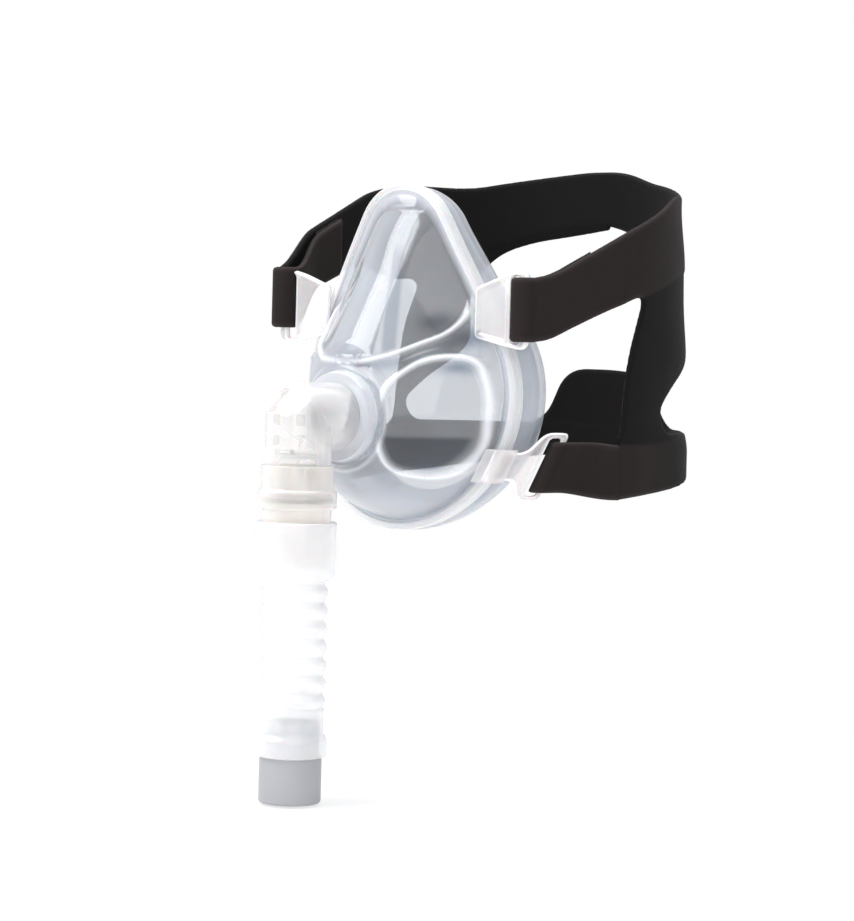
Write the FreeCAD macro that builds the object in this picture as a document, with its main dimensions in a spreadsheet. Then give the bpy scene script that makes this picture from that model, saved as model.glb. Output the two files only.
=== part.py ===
import FreeCAD, Part
import math
import os
import Sketcher
from FreeCAD import Placement, Rotation, Vector

# Full-face breathing mask with swivel elbow, short flexible tube and headgear.
# Frame: origin at the middle of the cushion's sealing plane, at the height of the port axis.
# +X is the wearer's left, -Y is the front, +Z is up. Lengths are in millimetres, angles in degrees.

os.makedirs("parts", exist_ok=True)
doc = FreeCAD.newDocument("breathing_mask")
sheet = doc.addObject("Spreadsheet::Sheet", "sizes")

# Driving dimensions, by piece
driving = {
    # pear outline of the shell's rim: a low circle and a high circle with common tangents
    "rim_low_radius": 45.0,
    "rim_low_height": 8.0,
    "rim_high_radius": 18.0,
    "rim_high_height": 62.0,
    "rim_depth": 25.0,
    "rim_bend_radius": 157.0,
    "flange_width": 2.5,
    "flange_thickness": 2.4,
    # shell
    "dome_depth": 33.0,
    "shell_wall": 1.8,
    "rib_height": 0.9,
    "collar_radius": 16.0,
    "collar_front": 36.5,
    "collar_back": 27.0,
    "port_radius": 11.5,
    # upper strap loops
    "loop_reach": 57.0,
    "loop_height": 39.0,
    "loop_bar_width": 3.5,
    "loop_bar_thickness": 3.0,
    "loop_slot_width": 4.0,
    "loop_arm": 3.0,
    # cushion and its retaining ring
    "cushion_wall": 1.8,
    "cushion_swell": 5.2,
    "seal_bend_radius": 95.0,
    "ring_wall": 1.6,
    "ring_gap": 0.2,
    # elbow
    "leg_offset": 55.0,
    "barrel_radius": 12.0,
    "barrel_bore": 9.8,
    "leg_radius": 11.7,
    "leg_bore": 9.6,
    "leg_length": 31.0,
    "slant_top": 12.0,
    "elbow_wall": 2.0,
    "port_fit": 0.05,
    "shoulder_gap": 0.3,
    "spigot_end": 23.5,
    "snap_ring_width": 2.2,
    "snap_ring_radius": 14.5,
    "vent_width": 3.2,
    "vent_height": 4.0,
    "vent_turn": 45.0,
    "vent_high": 1.0,
    "vent_low": 8.0,
    # port caps on the elbow's slanted face
    "cap_radius": 2.3,
    "cap_height": 2.4,
    "cap_plug_radius": 1.5,
    "cap_pitch": 8.0,
    "cap_side": 5.0,
    "cap_strip": 1.2,
    # valve in the elbow's leg
    "seat_height": 14.5,
    "seat_thickness": 1.5,
    "seat_bore": 7.0,
    "flap_radius": 8.0,
    "flap_thickness": 0.9,
    "flap_pin_radius": 0.5,
    "hinge_offset": 7.8,
    "small_gap": 0.1,
    # swivel collar; its heights are given from the leg's lower end
    "swivel_lap": 14.0,
    "swivel_wall": 1.0,
    "swivel_flange_radius": 13.9,
    "swivel_flange_rise": 5.2,
    "swivel_flange_drop": 1.0,
    "swivel_gap": 0.08,
    "swivel_neck_radius": 12.2,
    "swivel_bore": 9.8,
    "swivel_reach": 21.0,
    "seal_rise": 3.0,
    "seal_width": 2.0,
    "seal_depth": 1.1,
    # flexible tube and its end connector, from the leg's lower end
    "cuff_drop": 5.5,
    "cuff_radius": 14.2,
    "cuff_length": 18.0,
    "tube_wall": 1.0,
    "crest_radius": 11.7,
    "valley_radius": 10.3,
    "crest_start": 30.0,
    "crest_pitch": 6.4,
    "tube_end_radius": 11.3,
    "bulge_radius": 12.6,
    "bulge_width": 7.3,
    "tube_reach": 87.8,
    "connector_radius": 11.0,
    "connector_length": 16.2,
    "connector_bore": 8.8,
    "connector_grip": 12.0,
    "connector_plug_radius": 10.0,
    # lower strap clips
    "clip_x": 46.5,
    "clip_ahead": 1.2,
    "clip_height": -16.0,
    "clip_heading": 56.7,
    "clip_lean": 25.0,
    "clip_length": 20.6,
    "clip_thickness": 2.2,
    "clip_bead_radius": 1.6,
    "clip_bead_length": 13.0,
    "clip_play": 0.08,
    "clip_swing": 8.0,
    "clip_slot": 4.2,
    "clip_bar": 2.2,
    # headgear
    "head_radius": 66.5,
    "head_centre": 32.0,
    "strap_thickness": 2.8,
    "strap_width": 22.0,
    "tab_thickness": 1.2,
    "fold_gap": 0.6,
}


class Size:
    """A number with the sheet expression that gives it, so geometry and bindings agree."""

    def __init__(self, number, text):
        self.number = number
        self.text = text

    def __float__(self):
        return float(self.number)

    def __add__(self, other):
        other = as_size(other)
        return Size(self.number + other.number, f"({self.text} + {other.text})")

    def __radd__(self, other):
        return as_size(other) + self

    def __sub__(self, other):
        other = as_size(other)
        return Size(self.number - other.number, f"({self.text} - {other.text})")

    def __rsub__(self, other):
        return as_size(other) - self

    def __mul__(self, other):
        other = as_size(other)
        return Size(self.number * other.number, f"({self.text} * {other.text})")

    def __rmul__(self, other):
        return as_size(other) * self

    def __truediv__(self, other):
        other = as_size(other)
        return Size(self.number / other.number, f"({self.text} / {other.text})")

    def __neg__(self):
        return 0 - self


def as_size(value):
    if isinstance(value, Size):
        return value
    return Size(float(value), f"({float(value)})")


for row, (alias, value) in enumerate(driving.items(), start=1):
    cell = f"B{row}"
    sheet.set(f"A{row}", alias)
    sheet.set(cell, str(value))
    sheet.setAlias(cell, alias)
doc.recompute()
size = {alias: Size(float(sheet.get(alias)), f"sizes.{alias}") for alias in driving}


def mm(alias):
    return float(size[alias])


# Helpers

def axis_plane(body, role):
    return next(feature for feature in body.Origin.OriginFeatures if feature.Role == role)


def turned(label, outline, centre=None):
    """A body revolved about a vertical axis from (radius, height) corners."""
    body = doc.addObject("PartDesign::Body", label)
    body.Label = label
    sketch = body.newObject("Sketcher::SketchObject", label + "_outline")
    sketch.AttachmentSupport = [(axis_plane(body, "XZ_Plane"), "")]
    sketch.MapMode = "FlatFace"
    corners = [(as_size(r), as_size(h)) for r, h in outline]
    count = len(corners)
    for i in range(count):
        here = corners[i]
        there = corners[(i + 1) % count]
        start = Vector(float(here[0]), float(here[1]), 0)
        end = Vector(float(there[0]), float(there[1]), 0)
        sketch.addGeometry(Part.LineSegment(start, end), False)
    for i in range(count):
        sketch.addConstraint(Sketcher.Constraint("Coincident", i, 2, (i + 1) % count, 1))
    for i, (radius, height) in enumerate(corners):
        for kind, place in (("DistanceX", radius), ("DistanceY", height)):
            number = sketch.addConstraint(Sketcher.Constraint(kind, -1, 1, i, 1, float(place)))
            sketch.setExpression(f"Constraints[{number}]", place.text)
    turn = body.newObject("PartDesign::Revolution", label + "_turn")
    turn.Profile = sketch
    turn.ReferenceAxis = (sketch, ["V_Axis"])
    turn.Angle = 360.0
    body.Tip = turn
    if centre is not None:
        for letter, place in zip("xyz", centre):
            body.setExpression(f"Placement.Base.{letter}", as_size(place).text)
    return body


def primitive(kind, name, values, base=(0, 0, 0), rotation=None):
    """A Part primitive whose sizes and place are bound to the sheet."""
    item = doc.addObject(kind, name)
    for key, value in values.items():
        item.setExpression(key, as_size(value).text)
    item.Placement = Placement(Vector(0, 0, 0), rotation or Rotation())
    for letter, place in zip("xyz", base):
        item.setExpression(f"Placement.Base.{letter}", as_size(place).text)
    return item


def fused(name, items):
    result = doc.addObject("Part::MultiFuse", name)
    result.Shapes = items
    return result


def cut(name, base, tool):
    result = doc.addObject("Part::Cut", name)
    result.Base = base
    result.Tool = tool
    return result


def shared(name, items):
    result = doc.addObject("Part::MultiCommon", name)
    result.Shapes = items
    return result


def freeform(label, shape):
    """A piece with no straight or turned form, set from Part's own surfaces."""
    item = doc.addObject("Part::Feature", label)
    item.Label = label
    item.Shape = shape
    item.Placement = Placement()
    return item


def mirrored(shape):
    return shape.mirror(Vector(0, 0, 0), Vector(1, 0, 0))


# Pear-shaped rings: low and high circles joined by tangents, bent back at the sides
low_steps = 18
high_steps = 8
side_steps = 2


def pear_outline(low_r, low_z, high_r, high_z):
    lean = math.asin(min(0.95, (low_r - high_r) / (high_z - low_z)))
    points = []
    for i in range(low_steps + 1):
        turn = lean - (math.pi + 2 * lean) * i / low_steps
        points.append((low_r * math.cos(turn), low_z + low_r * math.sin(turn)))
    for i in range(high_steps + 1):
        turn = math.pi - lean - (math.pi - 2 * lean) * i / high_steps
        points.append((high_r * math.cos(turn), high_z + high_r * math.sin(turn)))
    # the straight sides are split so that their bend shows
    sides = []
    for from_point, to_point in ((points[low_steps], points[low_steps + 1]), (points[-1], points[0])):
        side = []
        for i in range(1, side_steps):
            share = i / side_steps
            side.append(tuple(a + (b - a) * share for a, b in zip(from_point, to_point)))
        sides.append(side)
    return points[:low_steps + 1] + sides[0] + points[low_steps + 1:] + sides[1]


def ring(forward, low_r, low_z, high_r, high_z, bend):
    rim_y = -mm("rim_depth") - forward
    points = []
    for x, z in pear_outline(low_r, low_z, high_r, high_z):
        points.append(Vector(x, rim_y + x * x / (2 * bend), z))
    return Part.makePolygon(points + [points[0]])


def sewn(skins):
    """A solid from lists of rings, each list joined ring to ring by ruled faces."""
    faces = []
    for rings in skins:
        faces += Part.makeLoft(rings, False, True).Faces
    shell = Part.makeShell(faces)
    shell.sewShape()
    solid = Part.makeSolid(shell)
    if solid.Volume < 0:
        solid.reverse()
    return solid


def ring_wall(outside, inside):
    """A solid wall between an outer and an inner skin, closed at both ends."""
    return sewn([outside, [outside[-1], inside[-1]], inside, [inside[0], outside[0]]])


# Shares of the rim's own sizes at each share of the dome's depth:
# depth, low radius, low height, high radius, high height
dome_stations = (
    (0.0, 1.0, 1.0, 1.0, 1.0),
    (0.18, 0.922, 0.75, 0.861, 0.895),
    (0.42, 0.8, 0.44, 0.778, 0.661),
    (0.67, 0.667, 0.25, 0.778, 0.435),
    (0.85, 0.522, 0.19, 0.778, 0.263),
    (0.97, 0.389, 0.06, 0.75, 0.125),
    (1.0, 0.344, 0.0, 0.75, 0.04),
)


def dome_rings(grow, lower, start=0.0):
    """Rings of the shell's dome, from the rim to the collar, moved out by grow, back by lower."""
    bend = mm("rim_bend_radius")
    rings = []
    for depth, low_r, low_z, high_r, high_z in dome_stations:
        forward = mm("dome_depth") * depth - lower if depth else start
        low = mm("rim_low_radius") * low_r + grow
        high = mm("rim_high_radius") * high_r + grow
        low_z = mm("rim_low_height") * low_z
        high_z = mm("rim_high_height") * high_z
        rings.append(ring(forward, low, low_z, high, high_z, bend * (1 + 3 * depth * depth)))
    return rings


def rounded_prism(corners, radius, start, length, along):
    """A prism over a polygon with rounded corners, in the plane across the given direction."""
    count = len(corners)
    edges = []
    ends = []
    for i in range(count):
        here = Vector(*corners[i], 0)
        back = Vector(*corners[i - 1], 0)
        ahead = Vector(*corners[(i + 1) % count], 0)
        to_back = (back - here).normalize()
        to_ahead = (ahead - here).normalize()
        half = to_back.getAngle(to_ahead) / 2
        reach = min(radius / math.tan(half), 0.45 * (back - here).Length, 0.45 * (ahead - here).Length)
        fit = reach * math.tan(half)
        middle = here + (to_back + to_ahead).normalize() * (fit / math.sin(half) - fit)
        first = here + to_back * reach
        last = here + to_ahead * reach
        edges.append(Part.Arc(first, middle, last).toShape())
        ends.append((first, last))
    for i in range(count):
        edges.append(Part.LineSegment(ends[i][1], ends[(i + 1) % count][0]).toShape())
    wire = Part.Wire(Part.__sortEdges__(edges))
    prism = Part.Face(wire).extrude(Vector(0, 0, length))
    if along == "Y":
        turn = Rotation(Vector(1, 0, 0), Vector(0, 0, 1), Vector(0, -1, 0), "XZY")
        place = Placement(Vector(0, start + length, 0), turn)
    else:
        place = Placement(Vector(start, 0, 0), Rotation(Vector(0, 1, 0), Vector(0, 0, 1), Vector(1, 0, 0), "ZXY"))
    prism.Placement = place
    return prism


def strap_ribbon(stations, thickness):
    """A cloth band lofted through upright cross-sections: (x, y, heading, bottom, top)."""
    sections = []
    for x, y, heading, bottom, top in stations:
        across = Vector(math.cos(heading), math.sin(heading), 0) * (thickness / 2)
        foot = Vector(x, y, 0)
        corners = [foot + across, foot - across]
        low = [c + Vector(0, 0, bottom) for c in corners]
        high = [c + Vector(0, 0, top) for c in reversed(corners)]
        sections.append(Part.makePolygon(low + high + [low[0]]))
    return Part.makeLoft(sections, True, True)


# Shell: a domed wall with raised ribs, flange, port collar, strap loops and clip rails

def build_shell():
    wall = mm("shell_wall")
    rib = mm("rib_height")
    flange = mm("flange_width")
    thick = mm("flange_thickness")
    outer = dome_rings(0.6 * rib, -0.8 * rib, thick)
    inner = dome_rings(-0.6 * wall, 0.8 * wall)
    rim_back = rim_ring(0, flange)
    rim_front = rim_ring(thick, flange)
    shell = sewn([[rim_back, rim_front, outer[0]], outer, [outer[-1], inner[-1]], inner, [inner[0], rim_back]])

    # windows are sunk between the ribs, down to the plain wall
    above = ring_wall(dome_rings(3.0, -4.0, thick), dome_rings(0.0, 0.0, thick))
    far = -mm("rim_depth") - mm("dome_depth") - 5
    upper_window = [(0, 75), (13, 74), (30, 41), (28, 32), (14, 20.5), (0, 19), (-14, 20.5), (-28, 32),
                    (-30, 41), (-13, 74)]
    side_window = [(20, 14), (30, 23), (39.5, 22), (42, 5), (38.5, -12), (28, -22), (16, -18), (17.5, -8),
                   (19.5, 0)]
    windows = [rounded_prism(upper_window, 5.0, far, 70, "Y")]
    for side in (1, -1):
        outline = [(side * x, z) for x, z in side_window]
        windows.append(rounded_prism(outline, 4.0, far, 70, "Y"))
    for window in windows:
        shell = shell.cut(window.common(above))

    # port collar
    front = -mm("rim_depth") - mm("collar_front")
    back = -mm("rim_depth") - mm("collar_back")
    collar = Part.makeCylinder(mm("collar_radius"), back - front, Vector(0, front, 0), Vector(0, 1, 0))
    shell = shell.fuse(collar)

    # strap loops and clip rails, kept clear of the retaining ring
    room = ring_room(0.3)
    for side in (1, -1):
        shell = shell.fuse(strap_loop(side).cut(room))
        shell = shell.fuse(clip_rails(side).cut(room))

    bore = Part.makeCylinder(mm("port_radius"), 60, Vector(0, front - 5, 0), Vector(0, 1, 0))
    return shell.cut(bore)


def rim_ring(forward, grow):
    """The rim's pear outline moved outward by grow, forward from the rim's plane."""
    return ring(forward, mm("rim_low_radius") + grow, mm("rim_low_height"), mm("rim_high_radius") + grow,
                mm("rim_high_height"), mm("rim_bend_radius"))


def ring_room(clear):
    """The space round the retaining ring's front that other parts of the shell keep out of."""
    inner = mm("flange_width") + mm("ring_gap")
    front = mm("flange_thickness") + mm("ring_gap") + 1.2 + clear
    outside = [rim_ring(-1.3, inner + mm("ring_wall") + clear), rim_ring(front, inner + mm("ring_wall") + clear)]
    inside = [rim_ring(-1.3, inner - 1.0 - clear), rim_ring(front, inner - 1.0 - clear)]
    return ring_wall(outside, inside)


def strap_loop(side):
    reach = mm("loop_reach")
    half_bar = mm("loop_bar_width") / 2
    height = mm("loop_height")
    half_slot = mm("strap_width") / 2 + 1.0
    half_frame = half_slot + mm("loop_arm")
    slot_outer = reach - half_bar
    slot_inner = slot_outer - mm("loop_slot_width")
    frame_outer = reach + half_bar
    frame_inner = slot_inner - mm("loop_arm")
    foot = mm("rim_high_radius") + 11.5
    thick = mm("loop_bar_thickness")
    centre_y = -mm("rim_depth") - 2.0
    frame = [
        (side * frame_outer, height + half_frame), (side * frame_outer, height - half_frame),
        (side * frame_inner, height - half_frame + 2), (side * foot, height - 8.0),
        (side * foot, height + 8.0), (side * frame_inner, height + half_frame - 2),
    ]
    slot = [
        (side * slot_outer, height + half_slot), (side * slot_outer, height - half_slot),
        (side * slot_inner, height - half_slot), (side * slot_inner, height + half_slot),
    ]
    loop = rounded_prism(frame, 3.5, centre_y - thick / 2, thick, "Y")
    return loop.cut(rounded_prism(slot, 1.2, centre_y - 5, 10, "Y"))


# Axes of a lower clip: ahead along the strap, up along the bead, out across the plate
def clip_axes(side):
    heading = math.radians(mm("clip_heading"))
    lean = math.radians(mm("clip_lean"))
    ahead = Vector(math.cos(heading), math.sin(heading), 0)
    up = ahead * math.sin(lean) + Vector(0, 0, math.cos(lean))
    out = Vector(math.sin(heading), -math.cos(heading), 0)
    foot = Vector(mm("clip_x"), -mm("rim_depth") - mm("clip_ahead"), mm("clip_height"))
    if side < 0:
        ahead, up, out, foot = (Vector(-v.x, v.y, v.z) for v in (ahead, up, out, foot))
    return foot, ahead, up, out


def clip_plate(side, outline, thickness):
    """A flat plate over points given as distances ahead and up from the clip's foot."""
    foot, ahead, up, out = clip_axes(side)
    points = [foot + ahead * a + up * b - out * (thickness / 2) for a, b in outline]
    return Part.Face(Part.makePolygon(points + [points[0]])).extrude(out * thickness)


# Plan of the rail block, from the clip's foot: across and back
rail_plan = ((-11.3, -2.8), (-1.5, -3.8), (2.6, -0.6), (1.4, 3.1), (-2.6, 2.5), (-10.0, 1.2))


def clip_rails(side):
    foot, ahead, up, out = clip_axes(side)
    long = mm("clip_bead_length")
    reach = mm("clip_bead_radius") + mm("clip_play")
    base = foot - up * (long / 2)
    points = [base + Vector(side * x, y, 0) for x, y in rail_plan]
    block = Part.Face(Part.makePolygon(points + [points[0]])).extrude(up * long)
    channel = Part.makeCylinder(reach, long + 20, foot - up * (long / 2 + 10), up)
    block = block.cut(channel)
    swing = mm("clip_swing") + 1.5
    for angle in (-swing, 0, swing):
        mouth = clip_plate(side, [(0, -long), (6, -long), (6, long), (0, long)], mm("clip_thickness") + 0.3)
        mouth.rotate(foot, up, angle)
        block = block.cut(mouth)
    return block


# Lower clips: a bead in the rails, a web that widens, and a slotted bar for the strap

def build_clip(side):
    foot, ahead, up, out = clip_axes(side)
    half_bead = mm("clip_bead_length") / 2
    length = mm("clip_length")
    bar = mm("clip_bar")
    slot = mm("clip_slot")
    half_slot = (mm("strap_width") - 2) / 2 + 1.3
    half_frame = half_slot + 2.2
    slot_end = length - bar
    slot_start = slot_end - slot
    web = [
        (0, -half_bead + 1.5), (slot_start - 6.5, -half_bead + 1.0), (slot_start - 2.5, -half_frame),
        (length, -half_frame), (length, half_frame), (slot_start - 2.5, half_frame),
        (slot_start - 6.5, half_bead - 1.0), (0, half_bead - 1.5),
    ]
    plate = clip_plate(side, web, mm("clip_thickness"))
    opening = [(slot_start, -half_slot), (slot_end, -half_slot), (slot_end, half_slot), (slot_start, half_slot)]
    plate = plate.cut(clip_plate(side, opening, 3 * mm("clip_thickness")))
    bead = Part.makeCylinder(mm("clip_bead_radius"), 2 * half_bead, foot - up * half_bead, up)
    return plate.fuse(bead).removeSplitter()


# Retaining ring and cushion

def build_cushion_ring():
    gap = mm("ring_gap")
    inner = mm("flange_width") + gap
    outer = inner + mm("ring_wall")
    seat = mm("flange_thickness") + gap
    front = seat + 1.2
    profile = [(-1.0, outer), (front, outer), (front, inner - 1.0), (seat, inner - 1.0), (seat, inner),
               (-1.0, inner)]
    rings = [rim_ring(forward, grow) for forward, grow in profile]
    return sewn([[rings[i - 1], rings[i]] for i in range(len(rings))])


def build_cushion():
    wall = mm("cushion_wall")
    low, low_z = mm("rim_low_radius"), mm("rim_low_height")
    high, high_z = mm("rim_high_radius"), mm("rim_high_height")
    swell = mm("cushion_swell")
    rim_bend = mm("rim_bend_radius")
    seal_bend = mm("seal_bend_radius")
    seal = mm("rim_depth") - (low - 3.0) ** 2 / (2 * seal_bend)
    middle_bend = 0.15 * rim_bend + 0.85 * seal_bend

    def at(back, grow, bend):
        return ring(-back, low + grow, low_z + 0.8, high + 0.5 * grow, high_z + 0.8, bend)

    # widest just behind the retaining ring, then drawn in to the seal and turned under
    outside = [
        at(0.2, -1.0, rim_bend),
        at(1.5, 0.55 * swell, 0.8 * rim_bend),
        at(3.6, swell, middle_bend),
        at(0.45 * seal, 0.93 * swell, seal_bend),
        at(0.8 * seal, 0.2 * swell, seal_bend),
        at(seal, -4.0, seal_bend),
        at(0.95 * seal, -9.5, seal_bend),
    ]
    inside = [
        at(0.2, -1.0 - wall, rim_bend),
        at(2.4, 0.55 * swell - wall, 0.8 * rim_bend),
        at(4.2, swell - wall, middle_bend),
        at(0.45 * seal, 0.93 * swell - wall, seal_bend),
        at(0.8 * seal - 0.8 * wall, 0.2 * swell - 0.9 * wall, seal_bend),
        at(seal - wall, -4.6, seal_bend),
        at(0.95 * seal - wall, -9.0, seal_bend),
    ]
    return ring_wall(outside, inside)


# Headgear plan: straight from each loop to the head circle, then round the back

def head_tangent(start_x, start_y, start_r):
    """Angle of the common outer normal of a small fold circle and the head circle."""
    dx = start_x
    dy = start_y - mm("head_centre")
    return math.atan2(dy, dx) + math.acos((mm("head_radius") - start_r) / math.hypot(dx, dy))


def plan_point(distance, start_x, start_y, start_r, inset=0.0):
    """Point and outward normal angle at a distance along the strap's plan."""
    normal = head_tangent(start_x, start_y, start_r)
    out = Vector(math.cos(normal), math.sin(normal), 0)
    first = Vector(start_x, start_y, 0) + out * start_r
    touch = Vector(0, mm("head_centre"), 0) + out * mm("head_radius")
    straight = (touch - first).Length
    if distance <= straight:
        point = first + (touch - first).normalize() * distance
        turn = normal
    else:
        turn = normal + (distance - straight) / mm("head_radius")
        round_out = Vector(math.cos(turn), math.sin(turn), 0)
        point = Vector(0, mm("head_centre"), 0) + round_out * mm("head_radius")
    point = point - Vector(math.cos(turn), math.sin(turn), 0) * inset
    return point.x, point.y, turn


def between(distance, stations):
    """Smooth height between neighbouring stations of (distance, height)."""
    if distance <= stations[0][0]:
        return stations[0][1]
    for (s0, h0), (s1, h1) in zip(stations, stations[1:]):
        if distance <= s1:
            share = (distance - s0) / (s1 - s0)
            return h0 + (h1 - h0) * share
    return stations[-1][1]


# edges of the upper band, by distance from the loop, above the loop's middle
upper_top = ((0, 11), (10, 11.5), (27, 17), (57, 30.5), (85, 44), (110, 50.5), (163, 57))
upper_bottom = ((0, -11), (10, -10), (37, 0), (60, 7), (95, 19), (130, 31), (163, 35.5))
panel_start = 46.0


def upper_heights(distance):
    middle = mm("loop_height")
    more = (mm("strap_width") - 22.0) / 2
    return middle + between(distance, upper_bottom) - more, middle + between(distance, upper_top) + more


def fold_radius():
    return mm("loop_bar_width") / 2 + mm("fold_gap") + mm("strap_thickness") / 2


def loop_centre():
    return mm("loop_reach"), -mm("rim_depth") - 2.0


def build_upper_strap():
    x0, y0 = loop_centre()
    fold = fold_radius()
    thick = mm("strap_thickness")
    normal = head_tangent(x0, y0, fold)
    bottom, top = upper_heights(0)
    stations = []
    # the returned end lies inside the band, closing up to it behind the bar
    close = thick + mm("tab_thickness") + 0.3
    for distance in (34.0, 26.0, 18.0, 11.0, 5.0):
        share = min(1.0, distance / 18.0)
        inset = 2 * fold + (close - 2 * fold) * share
        x, y, turn = plan_point(distance, x0, y0, fold, inset)
        low, high = upper_heights(distance)
        stations.append((x, y, turn + math.pi, low + 0.5, high - 0.5))
    for step in range(9):
        turn = normal + math.pi + math.pi * step / 8
        stations.append((x0 + fold * math.cos(turn), y0 + fold * math.sin(turn), turn, bottom, top))
    for distance in (5.0, 10.0, 18.0, 27.0, 37.0, panel_start):
        x, y, turn = plan_point(distance, x0, y0, fold)
        low, high = upper_heights(distance)
        stations.append((x, y, turn + 2 * math.pi, low, high))
    return strap_ribbon(stations, thick)


def build_upper_tab():
    x0, y0 = loop_centre()
    thick = mm("tab_thickness")
    inset = mm("strap_thickness") / 2 + thick / 2 + 0.15
    stations = []
    for distance in (20.0, 27.0, 34.0):
        x, y, turn = plan_point(distance, x0, y0, fold_radius(), inset)
        low, high = upper_heights(distance)
        stations.append((x, y, turn, low + 1.5, high - 1.5))
    return strap_ribbon(stations, thick)


# Back panel: one sheet round the back with an upper band, a lower band and two side pieces

def build_back_panel():
    x0, y0 = loop_centre()
    fold = fold_radius()
    thick = mm("strap_thickness")
    centre = mm("head_centre")
    radius = mm("head_radius")
    middle = 163.0
    x, y, turn = plan_point(middle, x0, y0, fold)
    normal = head_tangent(x0, y0, fold)
    straight = middle - (turn - normal) * radius
    back = straight + (math.pi / 2 - normal) * radius
    stations = []
    steps = 13
    lower_edge = ((panel_start, -28.0), (90, -23.5), (130, -18.0), (back, -14.0))
    for i in range(2 * steps + 1):
        share = i / steps
        distance = panel_start + (back - panel_start) * (share if share <= 1 else 2 - share)
        x, y, turn = plan_point(distance, x0, y0, fold)
        top = upper_heights(distance)[1]
        bottom = between(distance, lower_edge)
        if share > 1:
            x, turn = -x, math.pi - turn
        stations.append((x, y, turn, bottom, top))
    panel = strap_ribbon(stations, thick)

    # ear openings in front of the side pieces
    start_y = plan_point(panel_start, x0, y0, fold)[1]
    low_46, high_46 = upper_heights(panel_start)
    ear = [(start_y - 12, -8.0), (start_y + 1.0, -8.0), (start_y + 3.5, 20.0), (start_y + 13.0, low_46 + 4.5),
           (start_y - 12, low_46 - 5.0)]
    panel = panel.cut(rounded_prism(ear, 5.0, -90, 180, "X"))
    # side lobes of the back window, behind the side pieces
    lobe = [(centre + 6.5, -4.0), (centre + 56, -4.0), (centre + 56, 16.0), (centre + 6.5, 16.0)]
    panel = panel.cut(rounded_prism(lobe, 9.0, -90, 180, "X"))
    # back window
    window = [(0, 74.5), (38, 68), (46, 60), (46, 15.5), (44, -4), (36, -4), (26, 18), (-26, 18),
              (-36, -4), (-44, -4), (-46, 15.5), (-46, 60), (-38, 68)]
    panel = panel.cut(rounded_prism(window, 6.0, centre + 12, radius + 10, "Y"))
    return panel


# Lower straps and the folded ends that pass through the clips
lower_thickness = 2.0
tab_run = 6.0
return_run = 20.0


def lower_fold():
    return 1.2 * (mm("clip_thickness") / 2 + mm("fold_gap")) + lower_thickness / 2


def lower_line():
    """The bar, the strap's heading and outward normal on the left, and its run to the panel."""
    foot, ahead, up, out = clip_axes(1)
    bar = foot + ahead * (mm("clip_length") - mm("clip_bar") / 2)
    x0, y0 = loop_centre()
    end_x, end_y, end_turn = plan_point(panel_start - 0.1, x0, y0, fold_radius())
    away = Vector(end_x - bar.x, end_y - bar.y, 0)
    turn = math.atan2(away.y, away.x) - math.acos(lower_fold() / away.Length)
    normal = Vector(math.cos(turn), math.sin(turn), 0)
    heading = Vector(-math.sin(turn), math.cos(turn), 0)
    return bar, heading, normal, math.sqrt(away.Length ** 2 - lower_fold() ** 2)


def lower_section(middle, across, up, half, thickness):
    corners = []
    for wide, tall in ((1, -1), (-1, -1), (-1, 1), (1, 1)):
        corners.append(middle + across * (wide * thickness / 2) + up * (tall * half))
    return Part.makePolygon(corners + [corners[0]])


def build_lower_tab():
    bar, heading, normal, run = lower_line()
    up = clip_axes(1)[2]
    half = (mm("strap_width") - 2) / 2
    fold = lower_fold()
    sections = []
    # the returned layer closes up to the strap's inner side, then folds round the bar
    for distance in (return_run, 14.0, 8.0, 1.5):
        share = min(1.0, distance / 14.0)
        middle = bar + heading * distance - normal * (fold - (2 * fold - lower_thickness - 0.8) * share)
        sections.append(lower_section(middle, normal, up, half, lower_thickness))
    for step in range(7):
        turn = math.pi * step / 6
        radial = normal * -math.cos(turn) - heading * math.sin(turn)
        sections.append(lower_section(bar + radial * fold, radial * -1, up, half, lower_thickness))
    for distance in (2.0, tab_run):
        middle = bar + heading * distance + normal * fold
        sections.append(lower_section(middle, normal * -1, up, half, lower_thickness))
    return Part.makeLoft(sections, True, True)


def build_lower_strap():
    bar, heading, normal, run = lower_line()
    lean = clip_axes(1)[2]
    half = (mm("strap_width") - 2) / 2
    x0, y0 = loop_centre()
    end_x, end_y, end_turn = plan_point(panel_start - 0.1, x0, y0, fold_radius())
    end_out = Vector(math.cos(end_turn), math.sin(end_turn), 0)
    start_height = bar.z
    end_height = -18.0
    sections = []
    for share in (0.0, 0.25, 0.5, 0.75, 1.0):
        distance = tab_run + 0.15 + (run - tab_run - 0.15) * share
        bow = 0.8 * math.sin(math.pi * share)
        middle = bar + heading * distance + normal * (lower_fold() + bow)
        middle.z = start_height + (end_height - start_height) * share
        thickness = lower_thickness + (mm("strap_thickness") - lower_thickness) * share
        across = normal * (1 - share) + end_out * share
        up = lean * (1 - share) + Vector(0, 0, share)
        sections.append(lower_section(middle, across.normalize(), up.normalize(), half, thickness))
    return Part.makeLoft(sections, True, True)


# Elbow, with its retaining ring, valve and port caps

axis_y = -(size["rim_depth"] + size["leg_offset"])
collar_face = -(size["rim_depth"] + size["collar_front"])
shoulder = collar_face - size["shoulder_gap"]
spigot_end = -(size["rim_depth"] + size["spigot_end"])
lying = Rotation(Vector(1, 0, 0), -90)


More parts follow.
